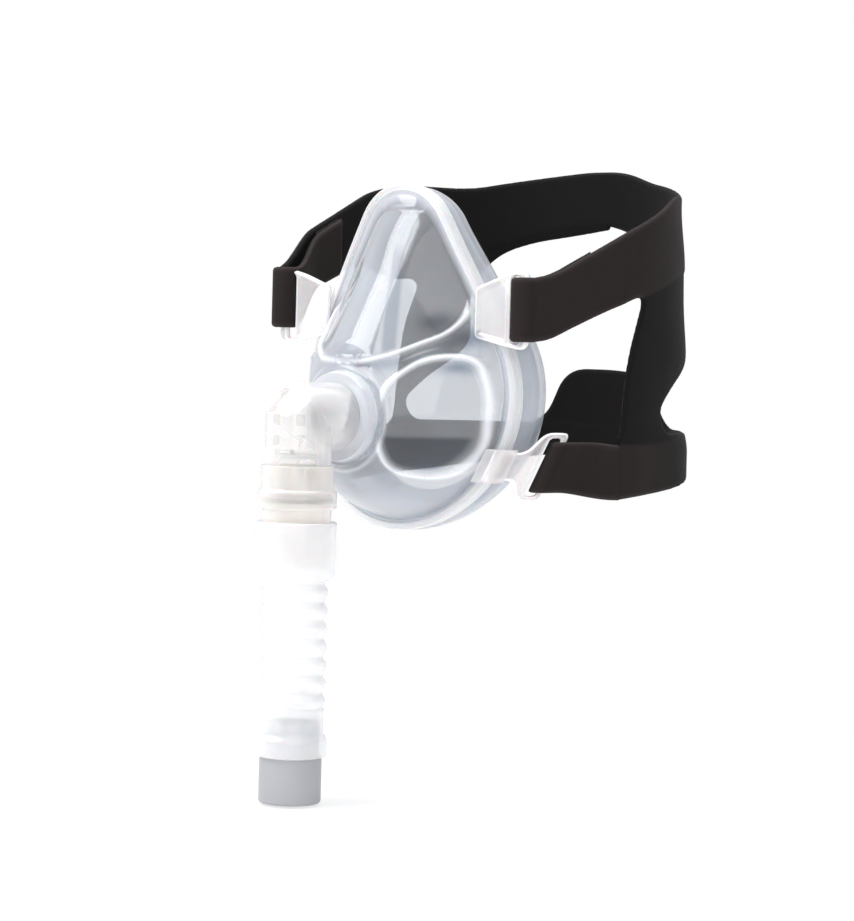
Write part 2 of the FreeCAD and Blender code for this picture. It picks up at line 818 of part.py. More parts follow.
def build_elbow():
    # the leg hangs from the barrel; the two bores meet at the same corner
    leg = primitive("Part::Cylinder", "elbow_leg", {"Radius": size["leg_radius"], "Height": size["leg_length"]},
                    (0, axis_y, -size["leg_length"]))
    barrel = primitive("Part::Cylinder", "elbow_barrel",
                       {"Radius": size["barrel_radius"], "Height": shoulder - axis_y},
                       (0, axis_y, 0), lying)
    spigot = primitive("Part::Cylinder", "elbow_spigot",
                       {"Radius": size["port_radius"] - size["port_fit"], "Height": spigot_end - axis_y},
                       (0, axis_y, 0), lying)
    corner_up = primitive("Part::Cylinder", "elbow_corner_up",
                          {"Radius": size["leg_radius"], "Height": size["barrel_radius"]}, (0, axis_y, 0))
    corner_out = primitive("Part::Cylinder", "elbow_corner_out",
                           {"Radius": size["barrel_radius"], "Height": size["barrel_radius"]},
                           (0, axis_y - size["barrel_radius"], 0), lying)
    corner = shared("elbow_corner", [corner_up, corner_out])
    outside = fused("elbow_outside", [leg, barrel, spigot, corner])

    leg_bore = primitive("Part::Cylinder", "elbow_leg_bore",
                         {"Radius": size["leg_bore"], "Height": size["leg_length"] + 1},
                         (0, axis_y, -(size["leg_length"] + 1)))
    barrel_bore = primitive("Part::Cylinder", "elbow_barrel_bore",
                            {"Radius": size["barrel_bore"], "Height": spigot_end - axis_y + 1},
                            (0, axis_y, 0), lying)
    bore_up = primitive("Part::Cylinder", "elbow_bore_up",
                        {"Radius": size["leg_bore"], "Height": size["barrel_bore"]}, (0, axis_y, 0))
    bore_out = primitive("Part::Cylinder", "elbow_bore_out",
                         {"Radius": size["barrel_bore"], "Height": size["leg_bore"]},
                         (0, axis_y - size["leg_bore"], 0), lying)
    bore_corner = shared("elbow_bore_corner", [bore_up, bore_out])

    # slanted face across the top front corner, and the same face one wall further in
    slant = Rotation(Vector(1, 0, 0), 45)
    slab = 40

    def slant_block(name, drop):
        return primitive("Part::Box", name, {"Length": slab, "Width": slab, "Height": slab},
                         (-slab / 2, axis_y - slab / 2 ** 0.5, size["slant_top"] - drop - slab / 2 ** 0.5), slant)

    outside = cut("elbow_slanted", outside, slant_block("elbow_slant", 0))
    bore_corner = cut("elbow_bore_slanted", bore_corner,
                      slant_block("elbow_bore_slant", 2 ** 0.5 * size["elbow_wall"]))
    bores = fused("elbow_bores", [leg_bore, barrel_bore, bore_corner])
    elbow = cut("elbow_hollow", outside, bores)

    # breathing openings round the front of the leg, above the valve
    vents = []
    for column in (-1, 0, 1):
        turn = math.radians(column * mm("vent_turn"))
        for row, drop in enumerate(("vent_high", "vent_low")):
            reach = 14.0
            height = mm("vent_height")
            width = mm("vent_width")
            direction = Vector(math.sin(turn), -math.cos(turn), 0)
            side = Vector(math.cos(turn), math.sin(turn), 0)
            corner = Vector(0, float(axis_y), -mm(drop) - height / 2) + direction * 6.0 - side * (width / 2)
            box = doc.addObject("Part::Box", f"elbow_vent_{column + 1}_{row}")
            box.setExpression("Length", size["vent_width"].text)
            box.setExpression("Height", size["vent_height"].text)
            box.Width = reach - 6.0
            box.Placement = Placement(corner, Rotation(side, direction, Vector(0, 0, 1), "ZXY"))
            vents.append(box)
    # sockets for the two port plugs
    for name, frame in zip(("lower", "upper"), cap_frames()):
        place, normal = frame
        hole = doc.addObject("Part::Cylinder", f"elbow_socket_{name}")
        hole.setExpression("Radius", (size["cap_plug_radius"] + size["small_gap"]).text)
        hole.Height = 12
        hole.Placement = Placement(place - normal * 6, Rotation(Vector(0, 0, 1), normal))
        vents.append(hole)
    elbow = cut("elbow_body", elbow, fused("elbow_openings", vents))
    elbow.Label = "elbow_body"
    return elbow


def cap_frames():
    """Seat and outward normal of each port on the slanted face."""
    normal = Vector(0, -1, 1).normalize()
    down = Vector(0, -1, -1).normalize()
    top = Vector(-mm("cap_side"), float(axis_y), mm("slant_top"))
    middle = top + down * 8.5
    half = mm("cap_pitch") / 2
    return [(middle + down * half, normal), (middle - down * half, normal)]


def build_port_caps():
    """Two domed knobs with plugs, joined by a thin strip."""
    (low, normal), (high, _) = cap_frames()
    strip = mm("cap_strip")
    lift = 0.05
    radius = mm("cap_radius")
    shape = None
    for seat in (low, high):
        base = seat + normal * lift
        knob = Part.makeCylinder(radius, mm("cap_height"), base, normal)
        top_edges = [e for e in knob.Edges if e.Closed and (e.CenterOfMass - base).dot(normal) > 1.0]
        knob = knob.makeChamfer(0.35 * radius, top_edges)
        plug = Part.makeCylinder(mm("cap_plug_radius"), 1.8 + lift, seat - normal * 1.8, normal)
        knob = knob.fuse(plug)
        shape = knob if shape is None else shape.fuse(knob)
    along = (high - low).normalize()
    side = normal.cross(along)
    corner = low + normal * lift - side * (0.6 * radius)
    points = [corner, corner + side * (1.2 * radius), corner + side * (1.2 * radius) + (high - low),
              corner + (high - low)]
    bridge = Part.Face(Part.makePolygon(points + [points[0]])).extrude(normal * strip)
    return shape.fuse(bridge).removeSplitter()


# Turned pieces on the port axis and the leg axis

def build_snap_ring():
    gap = size["small_gap"]
    inner = size["port_radius"] - size["port_fit"] + gap
    width = size["snap_ring_width"]
    outline = [(inner, 0), (size["snap_ring_radius"], 0), (size["snap_ring_radius"], 0.6 * width),
               (size["snap_ring_radius"] - 0.4 * width, width), (inner, width)]
    body = turned("elbow_ring", outline)
    body.Placement = Placement(Vector(0, 0, 0), lying)
    back = -(size["rim_depth"] + size["collar_back"]) + 0.3
    body.setExpression("Placement.Base.y", back.text)
    return body


leg_centre = (0, axis_y, 0)
leg_end = size["leg_length"]
swivel_top = leg_end - size["swivel_lap"]
swivel_end = leg_end + size["swivel_reach"]
seal_top = leg_end - size["seal_rise"]
cuff_top = leg_end + size["cuff_drop"]
first_crest = leg_end + size["crest_start"]
tube_end = leg_end + size["tube_reach"]


def build_swivel_collar():
    inner = size["leg_radius"] + size["swivel_gap"]
    sleeve = inner + size["swivel_wall"]
    step = -(leg_end + 0.4)
    groove_top = -seal_top
    groove_bottom = -(seal_top + size["seal_width"])
    groove = inner + size["seal_depth"]
    flange = size["swivel_flange_radius"]
    flange_top = size["swivel_flange_rise"] - leg_end
    flange_bottom = -(leg_end + size["swivel_flange_drop"])
    neck = size["swivel_neck_radius"]
    end = -swivel_end
    outline = [
        (inner, -swivel_top), (sleeve, -swivel_top), (sleeve, flange_top + 0.6),
        (flange, flange_top), (flange, flange_bottom + 0.5), (flange - 0.5, flange_bottom),
        (neck, flange_bottom), (neck, end + 1.0), (neck - 0.5, end), (size["swivel_bore"], end),
        (size["swivel_bore"], step), (inner, step), (inner, groove_bottom), (groove, groove_bottom),
        (groove, groove_top), (inner, groove_top),
    ]
    return turned("swivel_collar", outline, leg_centre)


def build_swivel_seal():
    inner = size["leg_radius"] + 0.03
    outer = size["leg_radius"] + size["swivel_gap"] + size["seal_depth"] - 0.1
    top = -(seal_top + 0.1)
    bottom = -(seal_top + size["seal_width"] - 0.1)
    outline = [(inner, top), (outer, top), (outer, bottom), (inner, bottom)]
    return turned("swivel_seal", outline, leg_centre)


crest_count = 7


def build_flex_tube():
    wall = size["tube_wall"]
    cuff = size["cuff_radius"]
    cuff_in = size["swivel_neck_radius"] + size["small_gap"]
    cuff_start = -cuff_top
    cuff_end = -(cuff_top + size["cuff_length"])
    crest = size["crest_radius"]
    valley = size["valley_radius"]
    pitch = size["crest_pitch"]
    end_r = size["tube_end_radius"]
    bulge = size["bulge_radius"]
    end = -tube_end
    plug = size["connector_plug_radius"] + size["small_gap"]
    grip_top = end + size["connector_grip"] + 0.5
    last = -(first_crest + (crest_count - 0.5) * pitch)
    bulge_top = end + size["bulge_width"]
    outside = [(cuff, cuff_start), (cuff, cuff_end), (valley, -first_crest + 0.5 * pitch)]
    for number in range(crest_count):
        middle = -(first_crest + number * pitch)
        outside += [(crest, middle + 0.12 * pitch), (crest, middle - 0.12 * pitch), (valley, middle - 0.5 * pitch)]
    outside[-1] = (end_r, last)
    outside += [(end_r, bulge_top), (bulge, bulge_top - 1.5), (bulge, end)]
    neck_end = -(swivel_end + 0.3)
    inside = [(cuff_in, cuff_start), (cuff_in, neck_end), (valley - wall, neck_end - 3.0),
              (valley - wall, grip_top + 1.0), (plug, grip_top + 1.0), (plug, end)]
    return turned("flex_tube", outside + inside[::-1], leg_centre)


def build_tube_connector():
    end = -tube_end
    low = end - size["connector_length"]
    radius = size["connector_radius"]
    plug = size["connector_plug_radius"]
    bore = size["connector_bore"]
    outline = [
        (bore, end + size["connector_grip"]), (plug, end + size["connector_grip"]), (plug, end - 0.1),
        (radius, end - 0.1), (radius, low + 0.4), (radius - 0.4, low), (bore, low),
    ]
    return turned("tube_connector", outline, leg_centre)


# Valve: a seat ring with two lugs across the leg, and a flap that lifts to close the openings

def build_valve_seat():
    radius = mm("leg_bore") - mm("small_gap")
    bottom = -mm("seat_height")
    top = bottom + mm("seat_thickness")
    y = float(axis_y)
    seat = Part.makeCylinder(radius, mm("seat_thickness"), Vector(0, y, bottom))
    seat = seat.cut(Part.makeCylinder(mm("seat_bore"), 6, Vector(0, y, bottom - 1)))
    pin = mm("flap_pin_radius")
    gap = 0.06
    hinge_y = y - mm("hinge_offset")
    hinge_z = top + mm("small_gap") + mm("flap_thickness") / 2
    for side in (1, -1):
        start = 3.1 if side > 0 else -4.1
        lug = Part.makeBox(1.0, 1.9, hinge_z + pin + 0.6 - bottom, Vector(start, hinge_y - 0.75, bottom))
        seat = seat.fuse(lug)
    bearing = Part.makeCylinder(pin + gap, 12, Vector(-6, hinge_y, hinge_z), Vector(1, 0, 0))
    limit = Part.makeCylinder(radius, 20, Vector(0, y, bottom - 2))
    return seat.cut(bearing).common(limit).removeSplitter()


def build_valve_flap():
    y = float(axis_y)
    top = -mm("seat_height") + mm("seat_thickness")
    base = top + mm("small_gap")
    thick = mm("flap_thickness")
    hinge_y = y - mm("hinge_offset")
    hinge_z = base + thick / 2
    disc = Part.makeCylinder(mm("flap_radius"), thick, Vector(0, y + 0.6, base))
    notch = Part.makeBox(30, 3.6, 5, Vector(-15, hinge_y - 2.0, base - 1))
    disc = disc.cut(notch)
    tab = Part.makeBox(5.2, 3.0, thick, Vector(-2.6, hinge_y, base))
    pin = Part.makeCylinder(mm("flap_pin_radius"), 8.6, Vector(-4.3, hinge_y, hinge_z), Vector(1, 0, 0))
    return disc.fuse(tab).fuse(pin).removeSplitter()


# Build every piece

pieces = [
    freeform("shell", build_shell()),
    freeform("cushion", build_cushion()),
    freeform("cushion_clip", build_cushion_ring()),
    build_elbow(),
    build_snap_ring(),
    freeform("valve_seat", build_valve_seat()),
    freeform("valve_flap", build_valve_flap()),
    freeform("port_caps", build_port_caps()),
    build_swivel_collar(),
    build_swivel_seal(),
    build_flex_tube(),
    build_tube_connector(),
    freeform("back_panel", build_back_panel()),
]
upper = build_upper_strap()
hook = build_upper_tab()
lower = build_lower_strap()
tail = build_lower_tab()
for name, side in (("left", 1), ("right", -1)):
    pieces.append(freeform(f"upper_strap_{name}", upper if side > 0 else mirrored(upper)))
    pieces.append(freeform(f"upper_tab_{name}", hook if side > 0 else mirrored(hook)))
    pieces.append(freeform(f"lower_strap_{name}", lower if side > 0 else mirrored(lower)))
    pieces.append(freeform(f"lower_tab_{name}", tail if side > 0 else mirrored(tail)))
    pieces.append(freeform(f"lower_clip_{name}", build_clip(side)))

doc.recompute()

problems = []
for item in doc.Objects:
    if "Invalid" in item.State or "Error" in item.State:
        problems.append(f"{item.Name}: {item.State}")
for piece in pieces:
    shape = piece.Shape
    if shape.isNull() or not shape.isValid():
        problems.append(f"{piece.Label}: shape is null or not valid")
    elif len(shape.Solids) != 1 or shape.Volume <= 0:
        problems.append(f"{piece.Label}: {len(shape.Solids)} solids, volume {shape.Volume:.1f}")
if problems:
    raise SystemExit("\n".join(problems))

for piece in pieces:
    piece.Shape.exportStep(f"parts/{piece.Label}.step")
    box = piece.Shape.BoundBox
    print(f"{piece.Label:20s} volume {piece.Shape.Volume:9.1f}  x {box.XMin:7.1f} {box.XMax:7.1f}"
          f"  y {box.YMin:7.1f} {box.YMax:7.1f}  z {box.ZMin:7.1f} {box.ZMax:7.1f}")
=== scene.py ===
import math

import bmesh
import bpy
import numpy as np
from mathutils import Matrix


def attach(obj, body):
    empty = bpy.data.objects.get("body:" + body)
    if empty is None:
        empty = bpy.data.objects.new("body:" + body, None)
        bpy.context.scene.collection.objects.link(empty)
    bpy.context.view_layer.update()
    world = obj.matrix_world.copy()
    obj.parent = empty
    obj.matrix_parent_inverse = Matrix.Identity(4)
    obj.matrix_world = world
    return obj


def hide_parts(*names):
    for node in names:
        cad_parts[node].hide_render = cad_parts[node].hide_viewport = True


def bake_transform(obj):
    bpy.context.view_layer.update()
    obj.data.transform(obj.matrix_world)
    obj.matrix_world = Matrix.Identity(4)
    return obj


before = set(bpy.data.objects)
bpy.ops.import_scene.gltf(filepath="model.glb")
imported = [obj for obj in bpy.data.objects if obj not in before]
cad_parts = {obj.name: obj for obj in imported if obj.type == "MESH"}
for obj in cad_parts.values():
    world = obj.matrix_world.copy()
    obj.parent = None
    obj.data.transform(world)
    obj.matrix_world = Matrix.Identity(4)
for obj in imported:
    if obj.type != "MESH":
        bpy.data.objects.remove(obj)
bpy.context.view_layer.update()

tau = 2 * np.pi


# every array is in millimetres, and makeMesh turns it into metres

def makeMesh(name, points, quads, triangles=None, uv=None, marks=None, sharp=35):
    # a finished object from points and faces, with its own map and its marks for the materials; edges that
    # turn more than `sharp` degrees stay crisp
    points = np.asarray(points, float).reshape(-1, 3)
    faces = [tuple(q) for q in quads.tolist()]
    if triangles is not None and len(triangles):
        faces += [tuple(t) for t in triangles.tolist()]
    mesh = bpy.data.meshes.new(name)
    mesh.from_pydata((points * 0.001).tolist(), [], faces)
    mesh.update()
    if uv is not None:
        layer = mesh.uv_layers.new(name="UVMap")
        corner = np.zeros(len(mesh.loops), np.int32)
        mesh.loops.foreach_get("vertex_index", corner)
        layer.data.foreach_set("uv", (np.asarray(uv)[corner] * 0.001).astype(np.float32).ravel())
    for key, values in (marks or {}).items():
        attribute = mesh.attributes.new(key, "FLOAT", "POINT")
        attribute.data.foreach_set("value", np.asarray(values, np.float32).ravel())
    mesh.shade_smooth()
    mesh.set_sharp_from_angle(angle=math.radians(sharp))
    piece = bpy.data.objects.new(name, mesh)
    bpy.context.scene.collection.objects.link(piece)
    return piece


def gridQuads(rows, columns, closeRows, closeColumns):
    # neighbouring rows and columns of a grid joined in fours, round the ends where it is closed
    index = np.arange(rows * columns).reshape(rows, columns)
    down = np.roll(index, -1, 0) if closeRows else index[1:]
    here = index if closeRows else index[:-1]
    quads = np.stack([here, np.roll(here, -1, 1), np.roll(down, -1, 1), down], -1)
    if not closeColumns:
        quads = quads[:, :-1]
    return quads.reshape(-1, 4)


def outward(points, quads):
    # turns the faces over when the closed surface they make has a negative volume
    p = np.asarray(points, float).reshape(-1, 3)
    a, b, c, d = (p[quads[:, i]] for i in range(4))
    volume = np.einsum("ij,ij->i", a, np.cross(b, c)) + np.einsum("ij,ij->i", a, np.cross(c, d))
    return quads[:, ::-1] if volume.sum() < 0 else quads


def closedGrid(name, points, marks=None, sharp=35):
    # a tube bent round on itself: both the rows and the columns close
    rows, columns = points.shape[:2]
    quads = outward(points, gridQuads(rows, columns, True, True))
    return makeMesh(name, points, quads, marks=marks, sharp=sharp)


def ease(x, low, high):
    # smooth step from 0 at low to 1 at high
    t = np.clip((x - low) / (high - low), 0, 1)
    return t * t * (3 - 2 * t)


def smoothTable(x, stations):
    # cubic through table rows (place, values...), with slopes from the neighbours on each side
    table = np.asarray(stations, float)
    place, values = table[:, 0], table[:, 1:]
    step = np.diff(place)[:, None]
    slope = np.diff(values, axis=0) / step
    tangent = np.zeros_like(values)
    tangent[1:-1] = np.where(slope[1:] * slope[:-1] > 0, (slope[1:] + slope[:-1]) / 2, 0)
    tangent[0], tangent[-1] = slope[0], slope[-1]
    x = np.atleast_1d(x)
    i = np.clip(np.searchsorted(place, x, side="right") - 1, 0, len(place) - 2)
    h = step[i]
    t = ((x - place[i]) / step[i, 0])[:, None]
    return ((2 * t**3 - 3 * t**2 + 1) * values[i] + (t**3 - 2 * t**2 + t) * h * tangent[i]
            + (3 * t**2 - 2 * t**3) * values[i + 1] + (t**3 - t**2) * h * tangent[i + 1])


def roundCorners(corners, radius, steps=4, closed=True):
    # each corner becomes a short curve: a quadratic from one side's point to the next side's
    corners = np.asarray(corners, float)
    radius = np.broadcast_to(radius, len(corners))
    out = []
    for i, here in enumerate(corners):
        if not closed and i in (0, len(corners) - 1):
            out.append(here)
            continue
        back, ahead = corners[i - 1] - here, corners[(i + 1) % len(corners)] - here
        reach = min(radius[i], 0.48 * np.linalg.norm(back), 0.48 * np.linalg.norm(ahead))
        if reach < 1e-6:
            out.append(here)
            continue
        first = here + back / np.linalg.norm(back) * reach
        last = here + ahead / np.linalg.norm(ahead) * reach
        for t in np.linspace(0, 1, steps + 1):
            out.append((1 - t) ** 2 * first + 2 * t * (1 - t) * here + t * t * last)
    return np.array(out)


def outlineDistance(x, y, outline):
    # distance from each point to a closed outline, negative inside it
    shape = np.shape(x)
    px, py = np.ravel(x)[:, None], np.ravel(y)[:, None]
    a = np.asarray(outline, float)
    b = np.roll(a, -1, 0)
    ex, ey = (b - a).T
    wx, wy = px - a[:, 0], py - a[:, 1]
    t = np.clip((wx * ex + wy * ey) / (ex * ex + ey * ey + 1e-12), 0, 1)
    away = np.sqrt(((wx - t * ex) ** 2 + (wy - t * ey) ** 2).min(1))
    above = (a[:, 1] <= py) != (b[:, 1] <= py)
    crossing = above & (px < a[:, 0] + (py - a[:, 1]) * ex / np.where(ey == 0, 1e-12, ey))
    inside = crossing.sum(1) % 2 == 1
    return np.where(inside, -away, away).reshape(shape)


def lathe(name, profile, centre, along="Z", columns=96, marks=None, sharp=35):
    # a closed outline of (radius, height) carried round an axis through centre
    profile = np.asarray(profile, float)
    turn = np.arange(columns) / columns * tau
    radius, height = profile[:, :1], profile[:, 1:2] + 0 * turn
    x, y = radius * np.cos(turn), radius * np.sin(turn)
    parts = (x, y, height) if along == "Z" else (x, height, y)
    points = np.stack(parts, -1) + np.asarray(centre, float)
    if marks:
        marks = {key: np.repeat(np.asarray(values), columns) for key, values in marks.items()}
    return closedGrid(name, points, marks, sharp)


def carve(piece, cutters):
    # takes the cutters' shapes out of the piece, then removes them
    for cutter in cutters:
        tool = piece.modifiers.new("opening", "BOOLEAN")
        tool.operation = "DIFFERENCE"
        tool.solver = "EXACT"
        tool.object = cutter
    bpy.context.view_layer.update()
    done = bpy.data.meshes.new_from_object(piece.evaluated_get(bpy.context.evaluated_depsgraph_get()))
    piece.modifiers.clear()
    piece.data = done
    done.shade_smooth()
    done.set_sharp_from_angle(angle=math.radians(35))
    for cutter in cutters:
        bpy.data.objects.remove(cutter)


def cutSheet(name, place, distance, bounds, cell, thickness, edge, sharp=50, soft=None, web=1.0, border=1.8,
             layer=None, shade=None):
    # a sheet cut from a fine grid of (s, t): points near the outline move onto it, the rest outside
    # is dropped, and both faces close towards the outline in a rounded edge; soft gives the distance
    # for the rounding where a join stays square, web thins the sheet inside its border, and layer gives
    # where a second layer covers it (1) and where it is bare (0), bare parts getting painted shade; shade adds more
    # painted shade to the cloth
    s0, s1, t0, t1 = bounds
    s, t = np.meshgrid(np.arange(s0, s1 + cell, cell), np.arange(t0, t1 + cell, cell), indexing="ij")
    d = distance(s, t)
    gs, gt = np.gradient(d, cell)
    size = np.maximum(np.hypot(gs, gt), 1e-6)
    near = (d < 0) & (d > -0.8 * cell)
    s = np.where(near, s - gs / size * d, s)
    t = np.where(near, t - gt / size * d, t)
    keep = (d > -0.8 * cell).ravel()
    depth = np.clip((soft or distance)(s, t), 0, None).ravel()
    quads = gridQuads(*s.shape, False, False)
    used = keep[quads]
    whole = quads[used.all(1)]
    corner = quads[used.sum(1) == 3]
    three = corner[keep[corner]].reshape(-1, 3)
    half = (thickness(s, t).ravel() if callable(thickness) else thickness) / 2
    covers = np.ones(s.size) if layer is None else layer(s, t).ravel()
    half = half - 0.35 * (1 - covers)
    rise = half * np.sqrt(np.clip(1 - (1 - np.clip(depth / edge, 0, 1)) ** 2, 0.0004, 1))
    rise = rise * (1 - (1 - web) * ease(depth, border, border + 0.7))
    middle, normal = place(s.ravel(), t.ravel())
    count = s.size
    points = np.vstack([middle + normal * rise[:, None], middle - normal * rise[:, None]])
    # the rim joins the two faces along every edge that only one face has
    edges = np.vstack([whole[:, [0, 1]], whole[:, [1, 2]], whole[:, [2, 3]], whole[:, [3, 0]],
                       three[:, [0, 1]], three[:, [1, 2]], three[:, [2, 0]]])
    key = np.sort(edges, 1)
    _, first, number = np.unique(key[:, 0] * count + key[:, 1], return_index=True, return_counts=True)
    rim = edges[first[number == 1]]
    rimQuads = np.stack([rim[:, 1], rim[:, 0], rim[:, 0] + count, rim[:, 1] + count], -1)
    quads = np.vstack([whole, whole[:, ::-1] + count, rimQuads])
    three = np.vstack([three, three[:, ::-1] + count])
    used = np.unique(np.concatenate([quads.ravel(), three.ravel()]))
    new = np.zeros(2 * count, np.int64)
    new[used] = np.arange(len(used))
    quads, three, points = new[quads], new[three], points[used]
    turned = outward(points, quads)
    if turned is not quads:
        three = three[:, ::-1]
    uv = np.stack([np.tile(s.ravel(), 2), np.tile(t.ravel(), 2)], -1)[used]
    edgeDepth = np.tile(depth, 2)[used]
    # painted shade: the bare layer and the places that shade gives are darkened in the cloth's colour
    dark = 1 - covers if shade is None else np.maximum(1 - covers, shade(s, t).ravel())
    # the milk mark is a painted highlight along the rounded edge, strongest just inside it
    marks = {"edgeDepth": edgeDepth, "milkAndHighlight": 0.8 * np.exp(-((edgeDepth - 0.3) / 0.55) ** 2),
             "inner": np.repeat([0.0, 1.0], count)[used], "paintedClothShade": np.tile(dark, 2)[used]}
    return makeMesh(name, points, turned, three, uv, marks, sharp)


def newMaterial(name):
    # an empty material with only its output
    material = bpy.data.materials.new(name)
    material.use_nodes = True
    tree = material.node_tree
    tree.nodes.clear()
    output = tree.nodes.new("ShaderNodeOutputMaterial")
    return material, tree, output


def addNode(tree, kind, inputs=None, **settings):
    # a node with its settings; an input is either a value or another node's socket
    node = tree.nodes.new("ShaderNode" + kind)
    for key, value in settings.items():
        setattr(node, key, value)
    for key, value in (inputs or {}).items():
        if isinstance(value, bpy.types.NodeSocket):
            tree.links.new(value, node.inputs[key])
        else:
            node.inputs[key].default_value = value
    return node


def objectNoise(tree, scale, detail=3.0, mark="Object"):
    # cloudy pattern fixed to the piece
    place = addNode(tree, "TexCoord")
    return addNode(tree, "TexNoise", {"Vector": place.outputs[mark], "Scale": scale, "Detail": detail})


def clearPlastic(name, tint, milky, share, edgeShare, gloss=0.08, waviness=0.04, thickest=0.85):
    # see-through wall: a tinted clear part mixed with a pale body that grows towards glancing edges and
    # where the piece's own attribute paints a highlight on lips and edges, plus a polished coat; a second
    # attribute paints shade and reflections in, where the wall turns steel blue and the pale body thins
    material, tree, output = newMaterial(name)
    facing = addNode(tree, "LayerWeight", {"Blend": 0.35})
    milkAndHighlight = addNode(tree, "Attribute", attribute_name="milkAndHighlight")
    cloud = objectNoise(tree, 60.0)
    edge = addNode(tree, "Math", {0: facing.outputs["Facing"], 1: edgeShare}, operation="MULTIPLY")
    lip = addNode(tree, "Math", {0: milkAndHighlight.outputs["Fac"], 1: 0.75, 2: edge.outputs[0]}, operation="MULTIPLY_ADD")
    patch = addNode(tree, "MapRange", {"Value": cloud.outputs["Fac"], "To Min": share * 0.75,
                                       "To Max": share * 1.25})
    # painted shade and reflection: the marked places get a steel-blue tint and a thinner pale body
    paintedShade = addNode(tree, "Attribute", attribute_name="paintedShade")
    total = addNode(tree, "Math", {0: lip.outputs[0], 1: patch.outputs[0]}, operation="ADD")
    thin = addNode(tree, "Math", {0: paintedShade.outputs["Fac"], 1: -0.7, 2: 1.0}, operation="MULTIPLY_ADD")
    thinned = addNode(tree, "Math", {0: total.outputs[0], 1: thin.outputs[0]}, operation="MULTIPLY")
    capped = addNode(tree, "Math", {0: thinned.outputs[0], 1: thickest}, operation="MINIMUM")
    bump = addNode(tree, "Bump", {"Strength": waviness, "Distance": 0.002, "Height": cloud.outputs["Fac"]})
    shade = addNode(tree, "Mix", {"Factor": paintedShade.outputs["Fac"], "A": (*tint, 1),
                                  "B": (0.11, 0.18, 0.29, 1)}, data_type="RGBA")
    clear = addNode(tree, "BsdfTransparent", {"Color": shade.outputs["Result"]})
    body = addNode(tree, "BsdfPrincipled", {
        "Base Color": (*milky, 1), "Roughness": 0.3, "Normal": bump.outputs["Normal"],
        "Specular IOR Level": 0.3, "Subsurface Weight": 0.3, "Subsurface Scale": 0.002,
    })
    wall = addNode(tree, "MixShader", {0: capped.outputs[0], 1: clear.outputs[0], 2: body.outputs[0]})
    shine = addNode(tree, "BsdfGlossy", {"Color": (1, 1, 1, 1), "Roughness": gloss,
                                         "Normal": bump.outputs["Normal"]})
    glance = addNode(tree, "LayerWeight", {"Blend": 0.5, "Normal": bump.outputs["Normal"]})
    steep = addNode(tree, "Math", {0: glance.outputs["Facing"], 1: 4.0}, operation="POWER")
    mirror = addNode(tree, "Math", {0: steep.outputs[0], 1: 0.75, 2: 0.05}, operation="MULTIPLY_ADD")
    coat = addNode(tree, "MixShader", {0: mirror.outputs[0], 1: wall.outputs[0], 2: shine.outputs[0]})
    tree.links.new(coat.outputs[0], output.inputs["Surface"])
    return material


def moulded(name, colour, roughness=0.4, speck=0.06, scale=350.0, coat=0.1, glow=0.0):
    # plain moulded plastic: slow colour drift, a fine skin texture, slight uneven gloss
    material, tree, output = newMaterial(name)
    drift = objectNoise(tree, 45.0)
    skin = objectNoise(tree, scale, 2.0)
    low = tuple(c * (1 - speck) for c in colour)
    high = tuple(min(1, c * (1 + speck)) for c in colour)
    tone = addNode(tree, "Mix", {"Factor": drift.outputs["Fac"], "A": (*low, 1), "B": (*high, 1)}, data_type="RGBA")
    rough = addNode(tree, "MapRange", {"Value": drift.outputs["Fac"], "To Min": roughness * 0.85,
                                       "To Max": roughness * 1.15})
    bump = addNode(tree, "Bump", {"Strength": 0.08, "Distance": 0.0004, "Height": skin.outputs["Fac"]})
    body = addNode(tree, "BsdfPrincipled", {
        "Base Color": tone.outputs["Result"], "Roughness": rough.outputs[0], "Coat Weight": coat,
        "Normal": bump.outputs["Normal"], "Subsurface Weight": glow, "Subsurface Scale": 0.003,
    })
    tree.links.new(body.outputs[0], output.inputs["Surface"])
    return material


